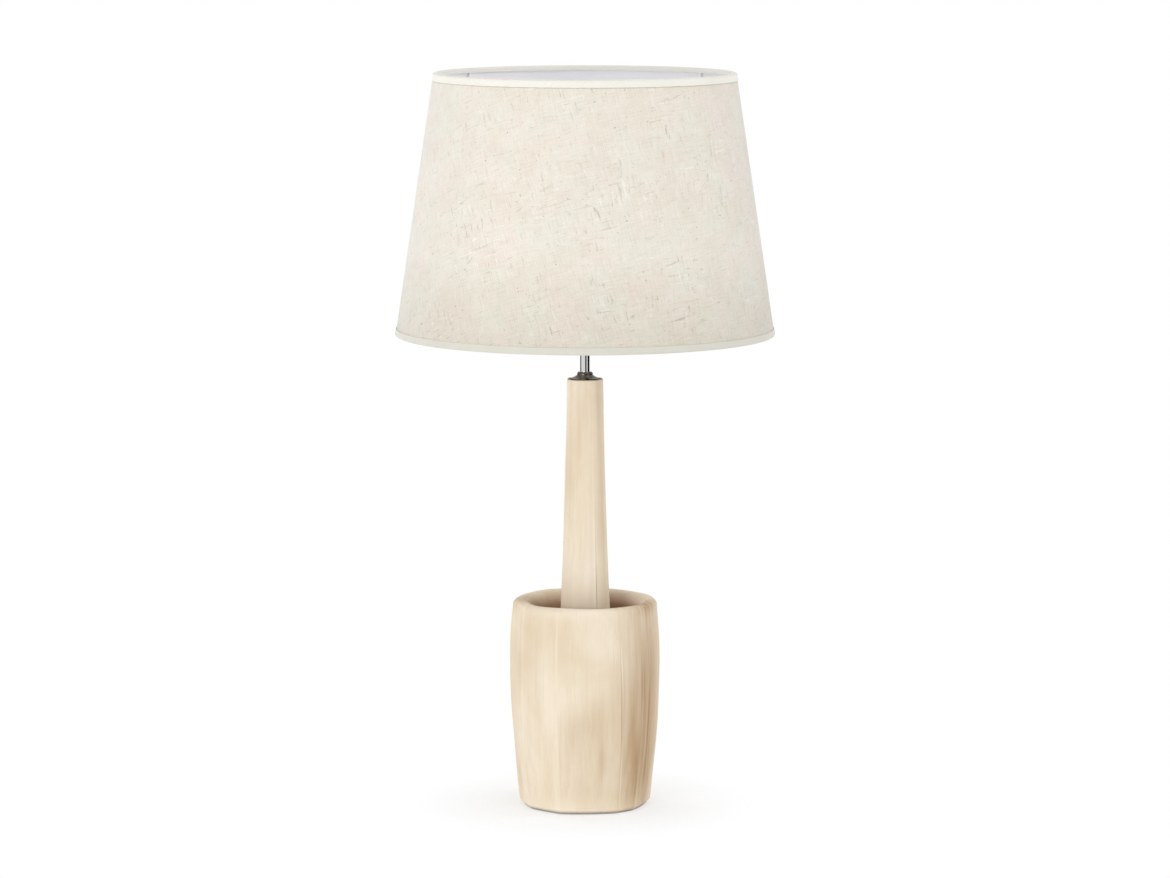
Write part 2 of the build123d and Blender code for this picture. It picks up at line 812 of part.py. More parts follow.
with BuildPart() as centre_contact:
    # Spring leaf: flat on the core, then rising to a flat end under the bulb
    with BuildSketch(Plane.XZ):
        with BuildLine():
            contact_top = bulb_bottom - slip_gap
            Polyline(
                (-contact_reach, core_top),
                (-contact_flat, core_top),
                (0, contact_top - contact_thickness),
                (contact_flat, contact_top - contact_thickness),
                (contact_flat, contact_top),
                (-contact_thickness / 2, contact_top),
                (-contact_flat - contact_thickness / 2, core_top + contact_thickness),
                (-contact_reach, core_top + contact_thickness),
                close=True,
            )
        make_face()
    extrude(amount=contact_width / 2, both=True)
centre_contact.part.label = "centre_contact"
export_step(centre_contact.part, "parts/centre_contact.step")

# ---------------------------------------------------------------- switch

bar_middle = bar_travel / 2
bar_length = 2 * (holder_cap_radius + bar_proud) + bar_travel

with BuildPart() as switch_bar:
    with BuildSketch(Plane.YZ.offset(bar_middle)):
        with Locations((0, bar_axis)):
            Circle(bar_radius)
    extrude(amount=bar_length / 2, both=True)
    fillet(switch_bar.faces().sort_by(Axis.X)[-1].edges(), bar_edge)
    fillet(switch_bar.faces().sort_by(Axis.X)[0].edges(), bar_edge)
    # Groove that holds the bridge
    with BuildSketch(Plane.YZ.offset(bar_middle)):
        with Locations((0, bar_axis)):
            Circle(bar_radius)
            Circle(bar_radius - bar_groove_depth, mode=Mode.SUBTRACT)
    extrude(amount=bridge_width / 2 + glue_gap, both=True, mode=Mode.SUBTRACT)
switch_bar.part.label = "switch_bar"
export_step(switch_bar.part, "parts/switch_bar.step")

with BuildPart() as switch_bridge:
    with BuildSketch(Plane.YZ.offset(bar_middle)):
        with Locations((0, bar_axis)):
            Circle(bridge_radius)
            Circle(bar_radius - bar_groove_depth + glue_gap, mode=Mode.SUBTRACT)
    extrude(amount=bridge_width / 2, both=True)
switch_bridge.part.label = "switch_bridge"
export_step(switch_bridge.part, "parts/switch_bridge.step")

# ---------------------------------------------------------------- bulb

bulb_cap_top = bulb_bottom + bulb_cap_height
insulator_top = bulb_bottom + bulb_contact_thickness + bulb_insulator_height
housing_top = bulb_cap_top + bulb_housing_height
globe_middle = bulb_bottom + bulb_length - bulb_radius

with BuildPart() as bulb_contact:
    with BuildSketch(Plane.XZ):
        band(0, bulb_contact_radius, bulb_bottom, bulb_bottom + bulb_contact_thickness)
    revolve(axis=Axis.Z)
bulb_contact.part.label = "bulb_contact"
export_step(bulb_contact.part, "parts/bulb_contact.step")

thread_root = bulb_cap_radius - bulb_thread_depth

with BuildPart() as bulb_insulator:
    with BuildSketch(Plane.XZ):
        with BuildLine():
            Polyline(
                (0, bulb_bottom + bulb_contact_thickness),
                (bulb_contact_radius + bulb_insulator_step, bulb_bottom + bulb_contact_thickness),
                (thread_root, insulator_top),
                (0, insulator_top),
                close=True,
            )
        make_face()
    revolve(axis=Axis.Z)
bulb_insulator.part.label = "bulb_insulator"
export_step(bulb_insulator.part, "parts/bulb_insulator.step")

thread_run = bulb_cap_top - insulator_top
thread_pitch = thread_run / (bulb_thread_count + 1)

with BuildPart() as bulb_cap:
    with BuildSketch(Plane.XZ):
        band(0, thread_root, insulator_top, bulb_cap_top)
        with Locations((thread_root, (insulator_top + bulb_cap_top) / 2)):
            with GridLocations(1, thread_pitch, 1, bulb_thread_count):
                Ellipse(bulb_thread_depth, thread_pitch / 2 - glue_gap)
    revolve(axis=Axis.Z)
bulb_cap.part.label = "bulb_cap"
export_step(bulb_cap.part, "parts/bulb_cap.step")

board_bottom = housing_top - bulb_board_thickness
housing_inner_neck = bulb_housing_neck - bulb_wall
housing_inner_radius = bulb_housing_radius - bulb_wall

with BuildPart() as bulb_housing:
    with BuildSketch(Plane.XZ):
        with BuildLine():
            Spline(
                (bulb_housing_neck, bulb_cap_top + bulb_neck_height),
                (bulb_housing_radius, housing_top),
                tangents=(bulb_neck_slope, bulb_top_slope),
            )
            Polyline(
                (bulb_housing_radius, housing_top),
                (housing_inner_radius, housing_top),
            )
            Spline(
                (housing_inner_neck, bulb_cap_top + bulb_neck_height),
                (housing_inner_radius, housing_top),
                tangents=(bulb_neck_slope, bulb_top_slope),
            )
            Polyline(
                (housing_inner_neck, bulb_cap_top + bulb_neck_height),
                (housing_inner_neck, bulb_cap_top + bulb_wall),
                (0, bulb_cap_top + bulb_wall),
                (0, bulb_cap_top),
                (bulb_housing_neck, bulb_cap_top),
                (bulb_housing_neck, bulb_cap_top + bulb_neck_height),
            )
        make_face()
    revolve(axis=Axis.Z)
bulb_housing.part.label = "bulb_housing"
export_step(bulb_housing.part, "parts/bulb_housing.step")

with BuildPart() as bulb_board:
    with BuildSketch(Plane.XZ):
        band(0, housing_inner_radius - bulb_board_inset, board_bottom, housing_top)
    revolve(axis=Axis.Z)
    # The light sources, in a ring on the board
    with Locations((0, 0, housing_top)):
        with PolarLocations(bulb_led_circle, bulb_led_count):
            Box(
                bulb_led_size,
                bulb_led_size,
                bulb_led_height,
                align=(Align.CENTER, Align.CENTER, Align.MIN),
            )
bulb_board.part.label = "bulb_board"
export_step(bulb_board.part, "parts/bulb_board.step")

with BuildPart() as bulb_globe:
    with BuildSketch(Plane.XZ):
        with BuildLine():
            CenterArc((0, globe_middle), bulb_radius, 0, 90)
            Spline(
                (bulb_housing_radius, housing_top),
                (bulb_radius, globe_middle),
                tangents=(bulb_top_slope, (0, 1)),
            )
            Polyline(
                (0, globe_middle + bulb_radius),
                (0, globe_middle + bulb_radius - bulb_wall),
            )
            CenterArc((0, globe_middle), bulb_radius - bulb_wall, 0, 90)
            Polyline(
                (bulb_radius - bulb_wall, globe_middle),
                (bulb_housing_radius - bulb_wall, housing_top),
                (bulb_housing_radius, housing_top),
            )
        make_face()
    revolve(axis=Axis.Z)
bulb_globe.part.label = "bulb_globe"
export_step(bulb_globe.part, "parts/bulb_globe.step")

# ---------------------------------------------------------------- shade frame

with BuildPart() as fitter_ring:
    with BuildSketch(Plane.XZ):
        band(barrel_radius + fitter_play, fitter_radius, seat, fitter_top)
    revolve(axis=Axis.Z)
fitter_ring.part.label = "fitter_ring"
export_step(fitter_ring.part, "parts/fitter_ring.step")

arm_top = top_wire_height - wire_radius - glue_gap
arm_bend_height = shade_top - arm_hang
arm_base = fitter_top + wire_radius

with BuildPart() as spider_arms:
    for angle in arm_angles:
        outwards = (sin(radians(angle)), cos(radians(angle)), 0)
        sideways = (cos(radians(angle)), -sin(radians(angle)), 0)
        arm_plane = Plane(origin=(0, 0, 0), x_dir=outwards, z_dir=sideways)
        with BuildLine(arm_plane):
            arm_path = FilletPolyline(
                (arm_start, arm_base),
                (arm_knee, arm_base),
                (shade_radius(arm_bend_height, wire_depth), arm_bend_height),
                (shade_radius(arm_top, wire_depth), arm_top),
                radius=(arm_bend_radius,) * 2,
            )
        with BuildSketch(Plane(origin=arm_path @ 0, z_dir=arm_path % 0)):
            Circle(wire_radius)
        sweep(path=arm_path)
spider_arms.part.label = "spider_arms"
export_step(spider_arms.part, "parts/spider_arms.step")

with BuildPart() as top_ring:
    with BuildSketch(Plane.XZ):
        with Locations((shade_radius(top_wire_height, wire_depth), top_wire_height)):
            Circle(wire_radius)
    revolve(axis=Axis.Z)
top_ring.part.label = "top_ring"
export_step(top_ring.part, "parts/top_ring.step")

with BuildPart() as bottom_ring:
    with BuildSketch(Plane.XZ):
        with Locations((shade_radius(bottom_wire_height, wire_depth), bottom_wire_height)):
            Circle(wire_radius)
    revolve(axis=Axis.Z)
bottom_ring.part.label = "bottom_ring"
export_step(bottom_ring.part, "parts/bottom_ring.step")

# ---------------------------------------------------------------- shade skins and tapes

with BuildPart() as linen_cover:
    with BuildSketch(Plane.XZ):
        shade_layer(0, linen_thickness, skin_bottom, skin_top)
    revolve(axis=Axis.Z)
linen_cover.part.label = "linen_cover"
export_step(linen_cover.part, "parts/linen_cover.step")

with BuildPart() as lining:
    with BuildSketch(Plane.XZ):
        shade_layer(lining_depth, lining_thickness, skin_bottom, skin_top)
    revolve(axis=Axis.Z)
lining.part.label = "lining"
export_step(lining.part, "parts/lining.step")

outer_leg = -glue_gap - tape_thickness
tape_reach = turn_in_depth + tape_thickness - outer_leg

with BuildPart() as top_trim:
    with BuildSketch(Plane.XZ):
        shade_layer(outer_leg, tape_thickness, shade_top - top_tape_width, shade_top)
        shade_layer(outer_leg, tape_reach, shade_top - tape_thickness, shade_top)
        shade_layer(turn_in_depth, tape_thickness, shade_top - tape_turn_in, shade_top)
    revolve(axis=Axis.Z)
top_trim.part.label = "top_trim"
export_step(top_trim.part, "parts/top_trim.step")

with BuildPart() as bottom_trim:
    with BuildSketch(Plane.XZ):
        shade_layer(outer_leg, tape_thickness, shade_bottom, shade_bottom + bottom_tape_width)
        shade_layer(outer_leg, tape_reach, shade_bottom, shade_bottom + tape_thickness)
        shade_layer(turn_in_depth, tape_thickness, shade_bottom, shade_bottom + tape_turn_in)
    revolve(axis=Axis.Z)
bottom_trim.part.label = "bottom_trim"
export_step(bottom_trim.part, "parts/bottom_trim.step")

# ---------------------------------------------------------------- ring that clamps the shade

clamp_bore_radius = barrel_radius + slip_gap

with BuildPart() as shade_ring:
    with BuildSketch(Plane.XY.offset(fitter_top)):
        Circle(clamp_ring_flange_radius)
        Circle(clamp_bore_radius, mode=Mode.SUBTRACT)
    extrude(amount=clamp_ring_flange_thickness)
    with BuildSketch(Plane.XY.offset(fitter_top)):
        Circle(clamp_ring_radius)
        with PolarLocations(clamp_ring_radius, clamp_ring_ribs):
            Circle(clamp_ring_rib_radius)
        Circle(clamp_bore_radius, mode=Mode.SUBTRACT)
    extrude(amount=clamp_ring_height)
shade_ring.part.label = "shade_ring"
export_step(shade_ring.part, "parts/shade_ring.step")

print("inner lead bend radius", lead_bend_radius, "length", round(live_path.length, 1))
print("shade side tilt", round(degrees(shade_tilt), 2))
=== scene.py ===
import json
from math import atan2, cos, hypot, pi, radians, sin, sqrt

import bpy
import numpy as np
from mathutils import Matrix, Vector


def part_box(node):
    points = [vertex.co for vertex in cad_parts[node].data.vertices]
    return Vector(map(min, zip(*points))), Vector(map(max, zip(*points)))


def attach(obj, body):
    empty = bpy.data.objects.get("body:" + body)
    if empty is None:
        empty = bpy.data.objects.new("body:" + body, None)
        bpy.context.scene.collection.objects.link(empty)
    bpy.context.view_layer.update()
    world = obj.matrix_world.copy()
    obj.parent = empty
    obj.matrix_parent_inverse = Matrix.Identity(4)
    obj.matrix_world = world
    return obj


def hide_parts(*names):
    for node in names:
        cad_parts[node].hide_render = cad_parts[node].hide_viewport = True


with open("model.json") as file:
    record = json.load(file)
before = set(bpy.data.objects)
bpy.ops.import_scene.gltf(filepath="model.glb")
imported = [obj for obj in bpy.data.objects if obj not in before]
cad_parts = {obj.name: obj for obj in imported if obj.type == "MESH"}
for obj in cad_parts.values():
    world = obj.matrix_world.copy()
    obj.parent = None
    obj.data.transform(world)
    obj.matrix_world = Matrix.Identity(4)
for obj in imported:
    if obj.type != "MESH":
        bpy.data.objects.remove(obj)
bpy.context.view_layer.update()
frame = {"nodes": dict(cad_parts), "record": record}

# Column table lamp: dressing of the imported model, in its frame: +Z up, the front along -Y, the
# lamp's axis at the origin. Lengths are in millimetres, and MM turns them to metres; where a
# section is in metres, it says so. Angles around the axis count from the front, anticlockwise as
# seen from above: in degrees where they are listed, in radians in every "around".

MM = 0.001


def node_height(node, end):
    """Lowest (end 0) or highest (end 1) point of a node of the frame, in millimetres."""
    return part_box(node)[end][2] / MM


# ---------------------------------------------------------------- sizes

pot_bottom = node_height("pot", 0)
pot_top = node_height("pot", 1)
pot_height = pot_top - pot_bottom
pot_heights = (0, 0.30, 0.66, 0.87, 1)              # its sections, as shares of its height
pot_radii = (65.7, 72.0, 75.3, 74.3, 72.2)          # and their corner radii
pot_corners = (-92, -58, -22, 29, 49, 92, 126, 160, 206, 238)
pot_crown = 0.45            # how far its facets bulge: 0 is flat and 1 is round
pot_softness = 1.1          # how widely its corners are rounded, in degrees
foot_chamfer = 2.0
hollow_floor = node_height("column", 0)
hollow_floor_radius = 46.0
hollow_mouth_radius = 52.0
hollow_corner = 12.0
lip_inner_height = 14.0     # the lip's inner side is well rounded
lip_inner_width = 13.0
lip_outer_height = 6.0      # and its outer side less so
lip_outer_width = 6.0
recess_radius = 42.0
recess_ceiling = pot_bottom + 16.0
counterbore_radius = 16.5
counterbore_ceiling = recess_ceiling + 12.0
tube_hole_radius = 5.3

column_top = node_height("column", 1)
column_height = column_top - hollow_floor
column_heights = (0, 0.49, 1)       # the column is given in the same way
column_radii = (30.0, 22.8, 18.4)
column_corners = (-72, -30, 30, 78, 120, 165, 205, 248)
column_crown = 0.5
column_softness = 1.6
column_edge = 0.8

shade_top = node_height("top_trim", 1)
shade_bottom = node_height("bottom_trim", 0)
shade_top_radius = 150.5
shade_bottom_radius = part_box("bottom_trim")[1][0] / MM
shade_slope = (shade_bottom_radius - shade_top_radius) / (shade_top - shade_bottom)
shade_tilt = atan2(shade_slope, 1)
apex_height = shade_top + shade_top_radius / shade_slope    # of the whole cone
skin_gap = 0.7              # from the shade's edge to the linen's
tape_thickness = 0.6
glue_gap = 0.1              # between layers that are glued or pressed together
linen_thickness = 0.8
lining_thickness = 0.5
wire_radius = 1.5
top_tape_width = 7.6
bottom_tape_width = 7.2
tape_turn_in = 5.0          # how far the tapes reach along the inside

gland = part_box("cord_gland")
gland_body_radius = 4.5
gland_flange_radius = 6.8
gland_flange_thickness = 2.5
gland_height = (gland[0][2] + gland[1][2]) / 2 / MM
gland_seat = gland[1][1] / MM - gland_flange_thickness

# ---------------------------------------------------------------- mesh tools

sharp_from = 35             # an edge that turns further than this, in degrees, stays sharp
waves_summed = 14


def curve(places, values, at):
    """Smooth curve through a few values, read at any place."""
    places, values = np.array(places, float), np.array(values, float)
    slopes = np.gradient(values, places)
    at = np.clip(at, places[0], places[-1])
    left = np.clip(np.searchsorted(places, at, side="right") - 1, 0, len(places) - 2)
    run = places[left + 1] - places[left]
    t = (at - places[left]) / run
    return (
        (2 * t**3 - 3 * t**2 + 1) * values[left]
        + (t**3 - 2 * t**2 + t) * run * slopes[left]
        + (3 * t**2 - 2 * t**3) * values[left + 1]
        + (t**3 - t**2) * run * slopes[left + 1]
    )


def waves(around, along, seed, turns, period, size):
    """Irregular low relief that closes around the axis: a sum of sine waves."""
    random = np.random.default_rng(seed)
    relief = 0 * around * along
    for _ in range(waves_summed):
        turn = random.integers(turns[0], turns[1] + 1)
        rise = random.uniform(-1, 1) * 2 * pi / period
        relief = relief + np.sin(turn * around + rise * along + random.uniform(0, 2 * pi))
    return size * relief / sqrt(waves_summed)


def shaved(around, corners, crown, softness):
    """Radius of a shaved section for a corner radius of 1, its corners softened."""
    start = np.radians(corners[0])
    offsets = np.radians(np.array(corners + (corners[0] + 360,))) - start
    turn = np.mod(around - start, 2 * pi)
    facet = np.clip(np.searchsorted(offsets, turn, side="right") - 1, 0, len(corners) - 1)
    half = (offsets[facet + 1] - offsets[facet]) / 2
    flat = np.cos(half) / np.cos(turn - offsets[facet] - half)
    radius = flat + crown * (1 - flat)
    wave_numbers = np.arange(len(around) // 2 + 1)
    blur = np.exp(-(radians(softness) * wave_numbers) ** 2 / 2)
    return np.fft.irfft(np.fft.rfft(radius) * blur, len(around))


def bump(distance, width):
    """Smooth bump of height 1 that falls to 1 / e at the given half width."""
    return np.exp(-(distance / width) ** 2)


def angle_from(around, angle):
    """Signed angle in degrees from a direction, between -180 and 180."""
    return np.mod(np.degrees(around) - angle + 180, 360) - 180


def linked(name, data):
    """Object with the given data, put into the scene."""
    piece = bpy.data.objects.new(name, data)
    bpy.context.scene.collection.objects.link(piece)
    return piece


def closed_grid(name, radii, heights, around, marks=None):
    """Ring-shaped skin: rows of radii and heights that close both ways."""
    rows, columns = radii.shape
    points = np.stack(
        [radii * np.sin(around), -radii * np.cos(around), heights + 0 * radii], axis=-1
    )
    index = np.arange(rows * columns).reshape(rows, columns)
    below = np.roll(index, -1, axis=0)
    faces = np.stack(
        [index, np.roll(index, -1, axis=1), np.roll(below, -1, axis=1), below], axis=-1
    )
    mesh = bpy.data.meshes.new(name)
    mesh.from_pydata((points.reshape(-1, 3) * MM).tolist(), [], faces.reshape(-1, 4).tolist())
    mesh.polygons.foreach_set("use_smooth", np.ones(len(mesh.polygons), bool))
    mesh.set_sharp_from_angle(angle=radians(sharp_from))
    for mark, values in (marks or {}).items():
        mesh.attributes.new(mark, "FLOAT", "POINT").data.foreach_set(
            "value", (values + 0 * radii).astype(np.float32).ravel()
        )
    mesh.update()
    return linked(name, mesh)


def lathe(name, profile, around):
    """Ring-shaped skin turned from a closed profile of (radius, height), anticlockwise."""
    profile = np.array(profile, float)
    ones = np.ones_like(around)
    return closed_grid(name, profile[:, :1] * ones, profile[:, 1:] * ones, around)


def ring_angles(count):
    """Evenly spaced angles round the axis, in radians."""
    return np.linspace(0, 2 * pi, count, endpoint=False)


# ---------------------------------------------------------------- material tools


def rgb(code):
    """Linear colour from a six-digit sRGB code."""
    parts = [int(code[i:i + 2], 16) / 255 for i in (0, 2, 4)]
    return tuple(((p + 0.055) / 1.055) ** 2.4 if p > 0.04045 else p / 12.92 for p in parts) + (1.0,)


class Finish:
    """A material and short ways to add its nodes."""

    def __init__(self, name, **sockets):
        self.material = bpy.data.materials.new(name)
        self.material.use_nodes = True
        self.nodes = self.material.node_tree.nodes
        self.links = self.material.node_tree.links
        self.shader = self.nodes["Principled BSDF"]
        self.place = self.add("ShaderNodeTexCoord").outputs["Object"]
        self.set(**sockets)

    def add(self, kind, inputs=(), **settings):
        node = self.nodes.new(kind)
        for setting, value in settings.items():
            setattr(node, setting, value)
        for socket, value in dict(inputs).items():
            self.plug(value, node.inputs[socket])
        return node

    def plug(self, value, socket):
        if isinstance(value, bpy.types.NodeSocket):
            self.links.new(value, socket)
        else:
            socket.default_value = value

    def set(self, **sockets):
        for socket, value in sockets.items():
            self.plug(value, self.shader.inputs[socket.replace("_", " ")])

    def math(self, operation, a, b=0.0):
        return self.add("ShaderNodeMath", {0: a, 1: b}, operation=operation).outputs[0]

    def scaled(self, vector, scale):
        return self.add("ShaderNodeMapping", {"Vector": vector, "Scale": scale}).outputs[0]

    def noise(self, vector, scale=1.0, detail=2.0, roughness=0.5, distortion=0.0):
        node = self.add("ShaderNodeTexNoise", {
            "Vector": vector, "Scale": scale, "Detail": detail,
            "Roughness": roughness, "Distortion": distortion,
        })
        return node.outputs["Fac"]

    def wave(self, vector, direction):
        node = self.add("ShaderNodeTexWave", {"Vector": vector, "Scale": 1.0})
        node.bands_direction = direction
        return node.outputs["Fac"]

    def ramp(self, factor, low, high, start=0.0, end=1.0):
        node = self.add("ShaderNodeMapRange", {
            "Value": factor, "From Min": low, "From Max": high, "To Min": start, "To Max": end,
        })
        return node.outputs[0]

    def mix(self, factor, first, second, blend="MIX"):
        node = self.add("ShaderNodeMix", data_type="RGBA", blend_type=blend)
        self.plug(factor, node.inputs[0])
        self.plug(first, node.inputs[6])
        self.plug(second, node.inputs[7])
        return node.outputs[2]

    def mark(self, name):
        return self.add("ShaderNodeAttribute", attribute_name=name).outputs["Fac"]

    def relief(self, height, distance):
        node = self.add("ShaderNodeBump", {
            "Height": height, "Distance": distance * MM, "Strength": 1.0,
        })
        self.set(Normal=node.outputs[0])


def dress(piece, material, body, node):
    """Gives a piece its material and body, and hides the node that it stands for."""
    piece.data.materials.clear()
    piece.data.materials.append(material)
    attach(piece, body)
    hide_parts(node)


# ---------------------------------------------------------------- materials

# Places in the materials are in metres, and so the scales of noises and waves are per metre

weave_turn = radians(15)    # how far the cloth lies off square at the front
thread_pitch = 0.7 * MM
thread_scale = pi / thread_pitch / 10       # the wave node repeats every pi / 10 at a scale of 1
hem_shade_height = 90.0            # painted shade: the linen darkens over this height towards its hem
glue_and_shadow_foot = 1.3        # from the top tape's cut edge to where the glue line and its painted shadow start to show
glue_and_shadow_head = 0.3        # and to where it is darkest


def wood_finish():
    """Pale wood: broad patches, long streaks, grain and pores, and the meshes' own marks, some of
    them painted light and shade.
    """
    wood = Finish("pale_wood", Roughness=0.6, Specular_IOR_Level=0.35)
    patches = wood.noise(wood.scaled(wood.place, (15, 15, 10)), detail=4, distortion=0.8)
    streaks = wood.noise(wood.scaled(wood.place, (150, 150, 4)), detail=3)
    grain = wood.noise(wood.scaled(wood.place, (800, 800, 11)), detail=4, roughness=0.6)
    pores = wood.noise(wood.scaled(wood.place, (1500, 1500, 60)), detail=2)
    colour = wood.mix(wood.ramp(patches, 0.35, 0.68), rgb("ECDFCB"), rgb("E0CFB3"))
    colour = wood.mix(wood.ramp(streaks, 0.40, 0.75, 0, 0.35), colour, rgb("D6C2A2"))
    colour = wood.mix(wood.ramp(grain, 0.48, 0.78, 0, 0.30), colour, rgb("CDB592"))
    colour = wood.mix(wood.ramp(pores, 0.66, 0.80, 0, 0.25), colour, rgb("B4976F"))
    # The tone mark carries random tone and painted light and shade: towards A37B4A where darker,
    # FBF3E6 where lighter
    tone_and_shade = wood.math("MULTIPLY", wood.mark("tone_and_shade"), wood.ramp(streaks, 0.3, 0.7, 0.7, 1.3))
    colour = wood.mix(wood.ramp(tone_and_shade, 0, 1), colour, rgb("A37B4A"))
    colour = wood.mix(wood.ramp(tone_and_shade, 0, -1), colour, rgb("FBF3E6"))
    # Painted shade inside the pot's hollow, darker with depth
    colour = wood.mix(wood.mark("hollow_shade"), colour, rgb("8A5628"))
    # Creases and the column's crack, and painted shade on the column's top face under the cup
    colour = wood.mix(wood.mark("creases_and_painted_shade"), colour, rgb("8A6C49"))
    wood.set(Base_Color=colour)
    height = wood.math("ADD", grain, wood.math("MULTIPLY", streaks, 2.0))
    wood.relief(height, 0.10)
    return wood.material


def cone_place(finish):
    """Place on the shade's flat cut, in metres: across and along, straight at the front."""
    parts = finish.add("ShaderNodeSeparateXYZ", {0: finish.place})
    x, y, z = parts.outputs
    angle = finish.math("ARCTAN2", x, finish.math("MULTIPLY", y, -1.0))
    drop = finish.math("SUBTRACT", apex_height * MM, z)
    slant = finish.math("MULTIPLY", drop, 1 / cos(shade_tilt))
    turn = finish.math("MULTIPLY", angle, sin(shade_tilt))
    across = finish.math("MULTIPLY", slant, finish.math("SINE", turn))
    along = finish.math("MULTIPLY", slant, finish.math("COSINE", turn))
    return finish.add("ShaderNodeCombineXYZ", {0: across, 1: along}).outputs[0]


def linen_finish():
    """Oatmeal linen: tinted patches, both ways' threads with bunched slubs, and dark flecks."""
    linen = Finish(
        "linen", Roughness=0.9, Specular_IOR_Level=0.12, Sheen_Weight=0.6, Sheen_Roughness=0.4
    )
    flat = linen.add(
        "ShaderNodeMapping", {"Vector": cone_place(linen), "Rotation": (0, 0, weave_turn)}
    ).outputs[0]
    tint = linen.noise(flat, 22, detail=2, distortion=0.6)
    patches = linen.noise(flat, 30, detail=3, distortion=0.5)
    bunches = linen.ramp(linen.noise(flat, 16, detail=2), 0.38, 0.62, 0.35, 1.0)
    colour = linen.mix(linen.ramp(tint, 0.42, 0.60), rgb("ECE9DC"), rgb("F0E6DB"))
    colour = linen.mix(linen.ramp(patches, 0.38, 0.68, 0, 0.55), colour, rgb("E5DCCD"))
    across = ((60, 1100, 1), (56, 370, 1))      # stretch of the threads, and of the slubs
    along = ((1100, 60, 1), (370, 62, 1))
    for threads, slubs in (across, along):
        thread = linen.noise(linen.scaled(flat, threads), detail=3)
        colour = linen.mix(linen.ramp(thread, 0.5, 0.75, 0, 0.28), colour, rgb("CFC4B4"))
        colour = linen.mix(linen.ramp(thread, 0.5, 0.25, 0, 0.32), colour, rgb("FAF6EE"))
        thick = linen.noise(linen.scaled(flat, slubs), detail=2, roughness=0.55, distortion=0.9)
        dark = linen.math("MULTIPLY", linen.ramp(thick, 0.62, 0.74, 0, 0.60), bunches)
        light = linen.math("MULTIPLY", linen.ramp(thick, 0.37, 0.28, 0, 0.70), bunches)
        colour = linen.mix(dark, colour, rgb("B3A794"))
        colour = linen.mix(light, colour, rgb("FBF8F1"))
    flecks = linen.noise(linen.scaled(flat, (260, 520, 1)), detail=1)
    colour = linen.mix(linen.ramp(flecks, 0.72, 0.78, 0, 0.7), colour, rgb("8F8474"))
    z = linen.add("ShaderNodeSeparateXYZ", {0: linen.place}).outputs[2]
    # Painted shade: darker towards the hem
    low = linen.ramp(z, (shade_bottom + hem_shade_height) * MM, shade_bottom * MM, 0, 0.80)
    colour = linen.mix(low, colour, rgb("E6E6E2"), "MULTIPLY")
    tape_edge = (shade_top - top_tape_width) * MM
    # Glue line with a painted shadow just under the top tape's cut edge
    glue_and_shadow_line = linen.ramp(
        z, tape_edge - glue_and_shadow_foot * MM, tape_edge - glue_and_shadow_head * MM, 0, 0.5
    )
    # The glue line and the lap's painted shadow, darkened towards A59C86
    glue_and_shadow_lines = linen.math("MAXIMUM", glue_and_shadow_line, linen.mark("lap_shadow"))
    linen.set(Base_Color=linen.mix(glue_and_shadow_lines, colour, rgb("A59C86")))
    warp = linen.wave(linen.scaled(flat, (thread_scale, 1, 1)), "X")
    weft = linen.wave(linen.scaled(flat, (1, thread_scale, 1)), "Y")
    uneven = linen.noise(linen.scaled(flat, (120, 900, 1)), detail=2)
    uneven = linen.math("ADD", uneven, linen.noise(linen.scaled(flat, (900, 120, 1)), detail=2))
    linen.relief(linen.math("ADD", linen.math("MAXIMUM", warp, weft), uneven), 0.15)
    return linen.material


def lining_finish():
    """Smooth, slightly glossy film, near white."""
    lining = Finish("lining", Roughness=0.45, Specular_IOR_Level=0.4)
    cloud = lining.noise(lining.place, 30, detail=3)
    lining.set(Base_Color=lining.mix(cloud, rgb("F3F2F7"), rgb("F7F7F8")))
    lining.relief(lining.noise(lining.place, 400, detail=2), 0.03)
    return lining.material


def tape_finish(name, light, dark):
    """Plain woven tape."""
    tape = Finish(
        name, Roughness=0.85, Specular_IOR_Level=0.2, Sheen_Weight=0.3, Sheen_Roughness=0.5
    )
    flat = cone_place(tape)
    thread = tape.noise(tape.scaled(flat, (1400, 400, 1)), detail=2)
    cloud = tape.noise(flat, 40, detail=2)
    colour = tape.mix(cloud, rgb(light), rgb(dark))
    colour = tape.mix(tape.ramp(thread, 0.5, 0.8, 0, 0.5), colour, rgb("D5D1C3"))
    tape.set(Base_Color=colour)
    tape.relief(thread, 0.1)
    return tape.material


def metal_finish(name, code, second, roughness, scratch):
    """Bare or plated metal, with faint wear drawn out along its height."""
    metal = Finish(name, Metallic=1.0)
    wear = metal.noise(metal.scaled(metal.place, (300, 300, 40)), detail=4)
    metal.set(
        Base_Color=metal.mix(wear, rgb(code), rgb(second)),
        Roughness=metal.ramp(wear, 0.2, 0.8, roughness, roughness + scratch),
    )
    metal.relief(wear, 0.003)
    return metal.material


def plastic_finish(name, code, second, roughness, grain=0.02, specular=0.5):
    """Moulded, painted or glassy surface with a fine grain."""
    plastic = Finish(name, Specular_IOR_Level=specular)
    cloud = plastic.noise(plastic.place, 60, detail=3)
    plastic.set(
        Base_Color=plastic.mix(cloud, rgb(code), rgb(second)),
        Roughness=plastic.ramp(cloud, 0.2, 0.8, roughness, roughness + 0.1),
    )
    plastic.relief(plastic.noise(plastic.place, 1500, detail=2), grain)
    return plastic.material


def felt_finish():
    """Short grey felt."""
    felt = Finish("felt", Roughness=0.95, Sheen_Weight=0.4, Sheen_Roughness=0.6)
    fibre = felt.noise(felt.place, 900, detail=5, distortion=1.5)
    felt.set(Base_Color=felt.mix(fibre, rgb("8E8983"), rgb("B5B0A8")))
    felt.relief(fibre, 0.3)
    return felt.material


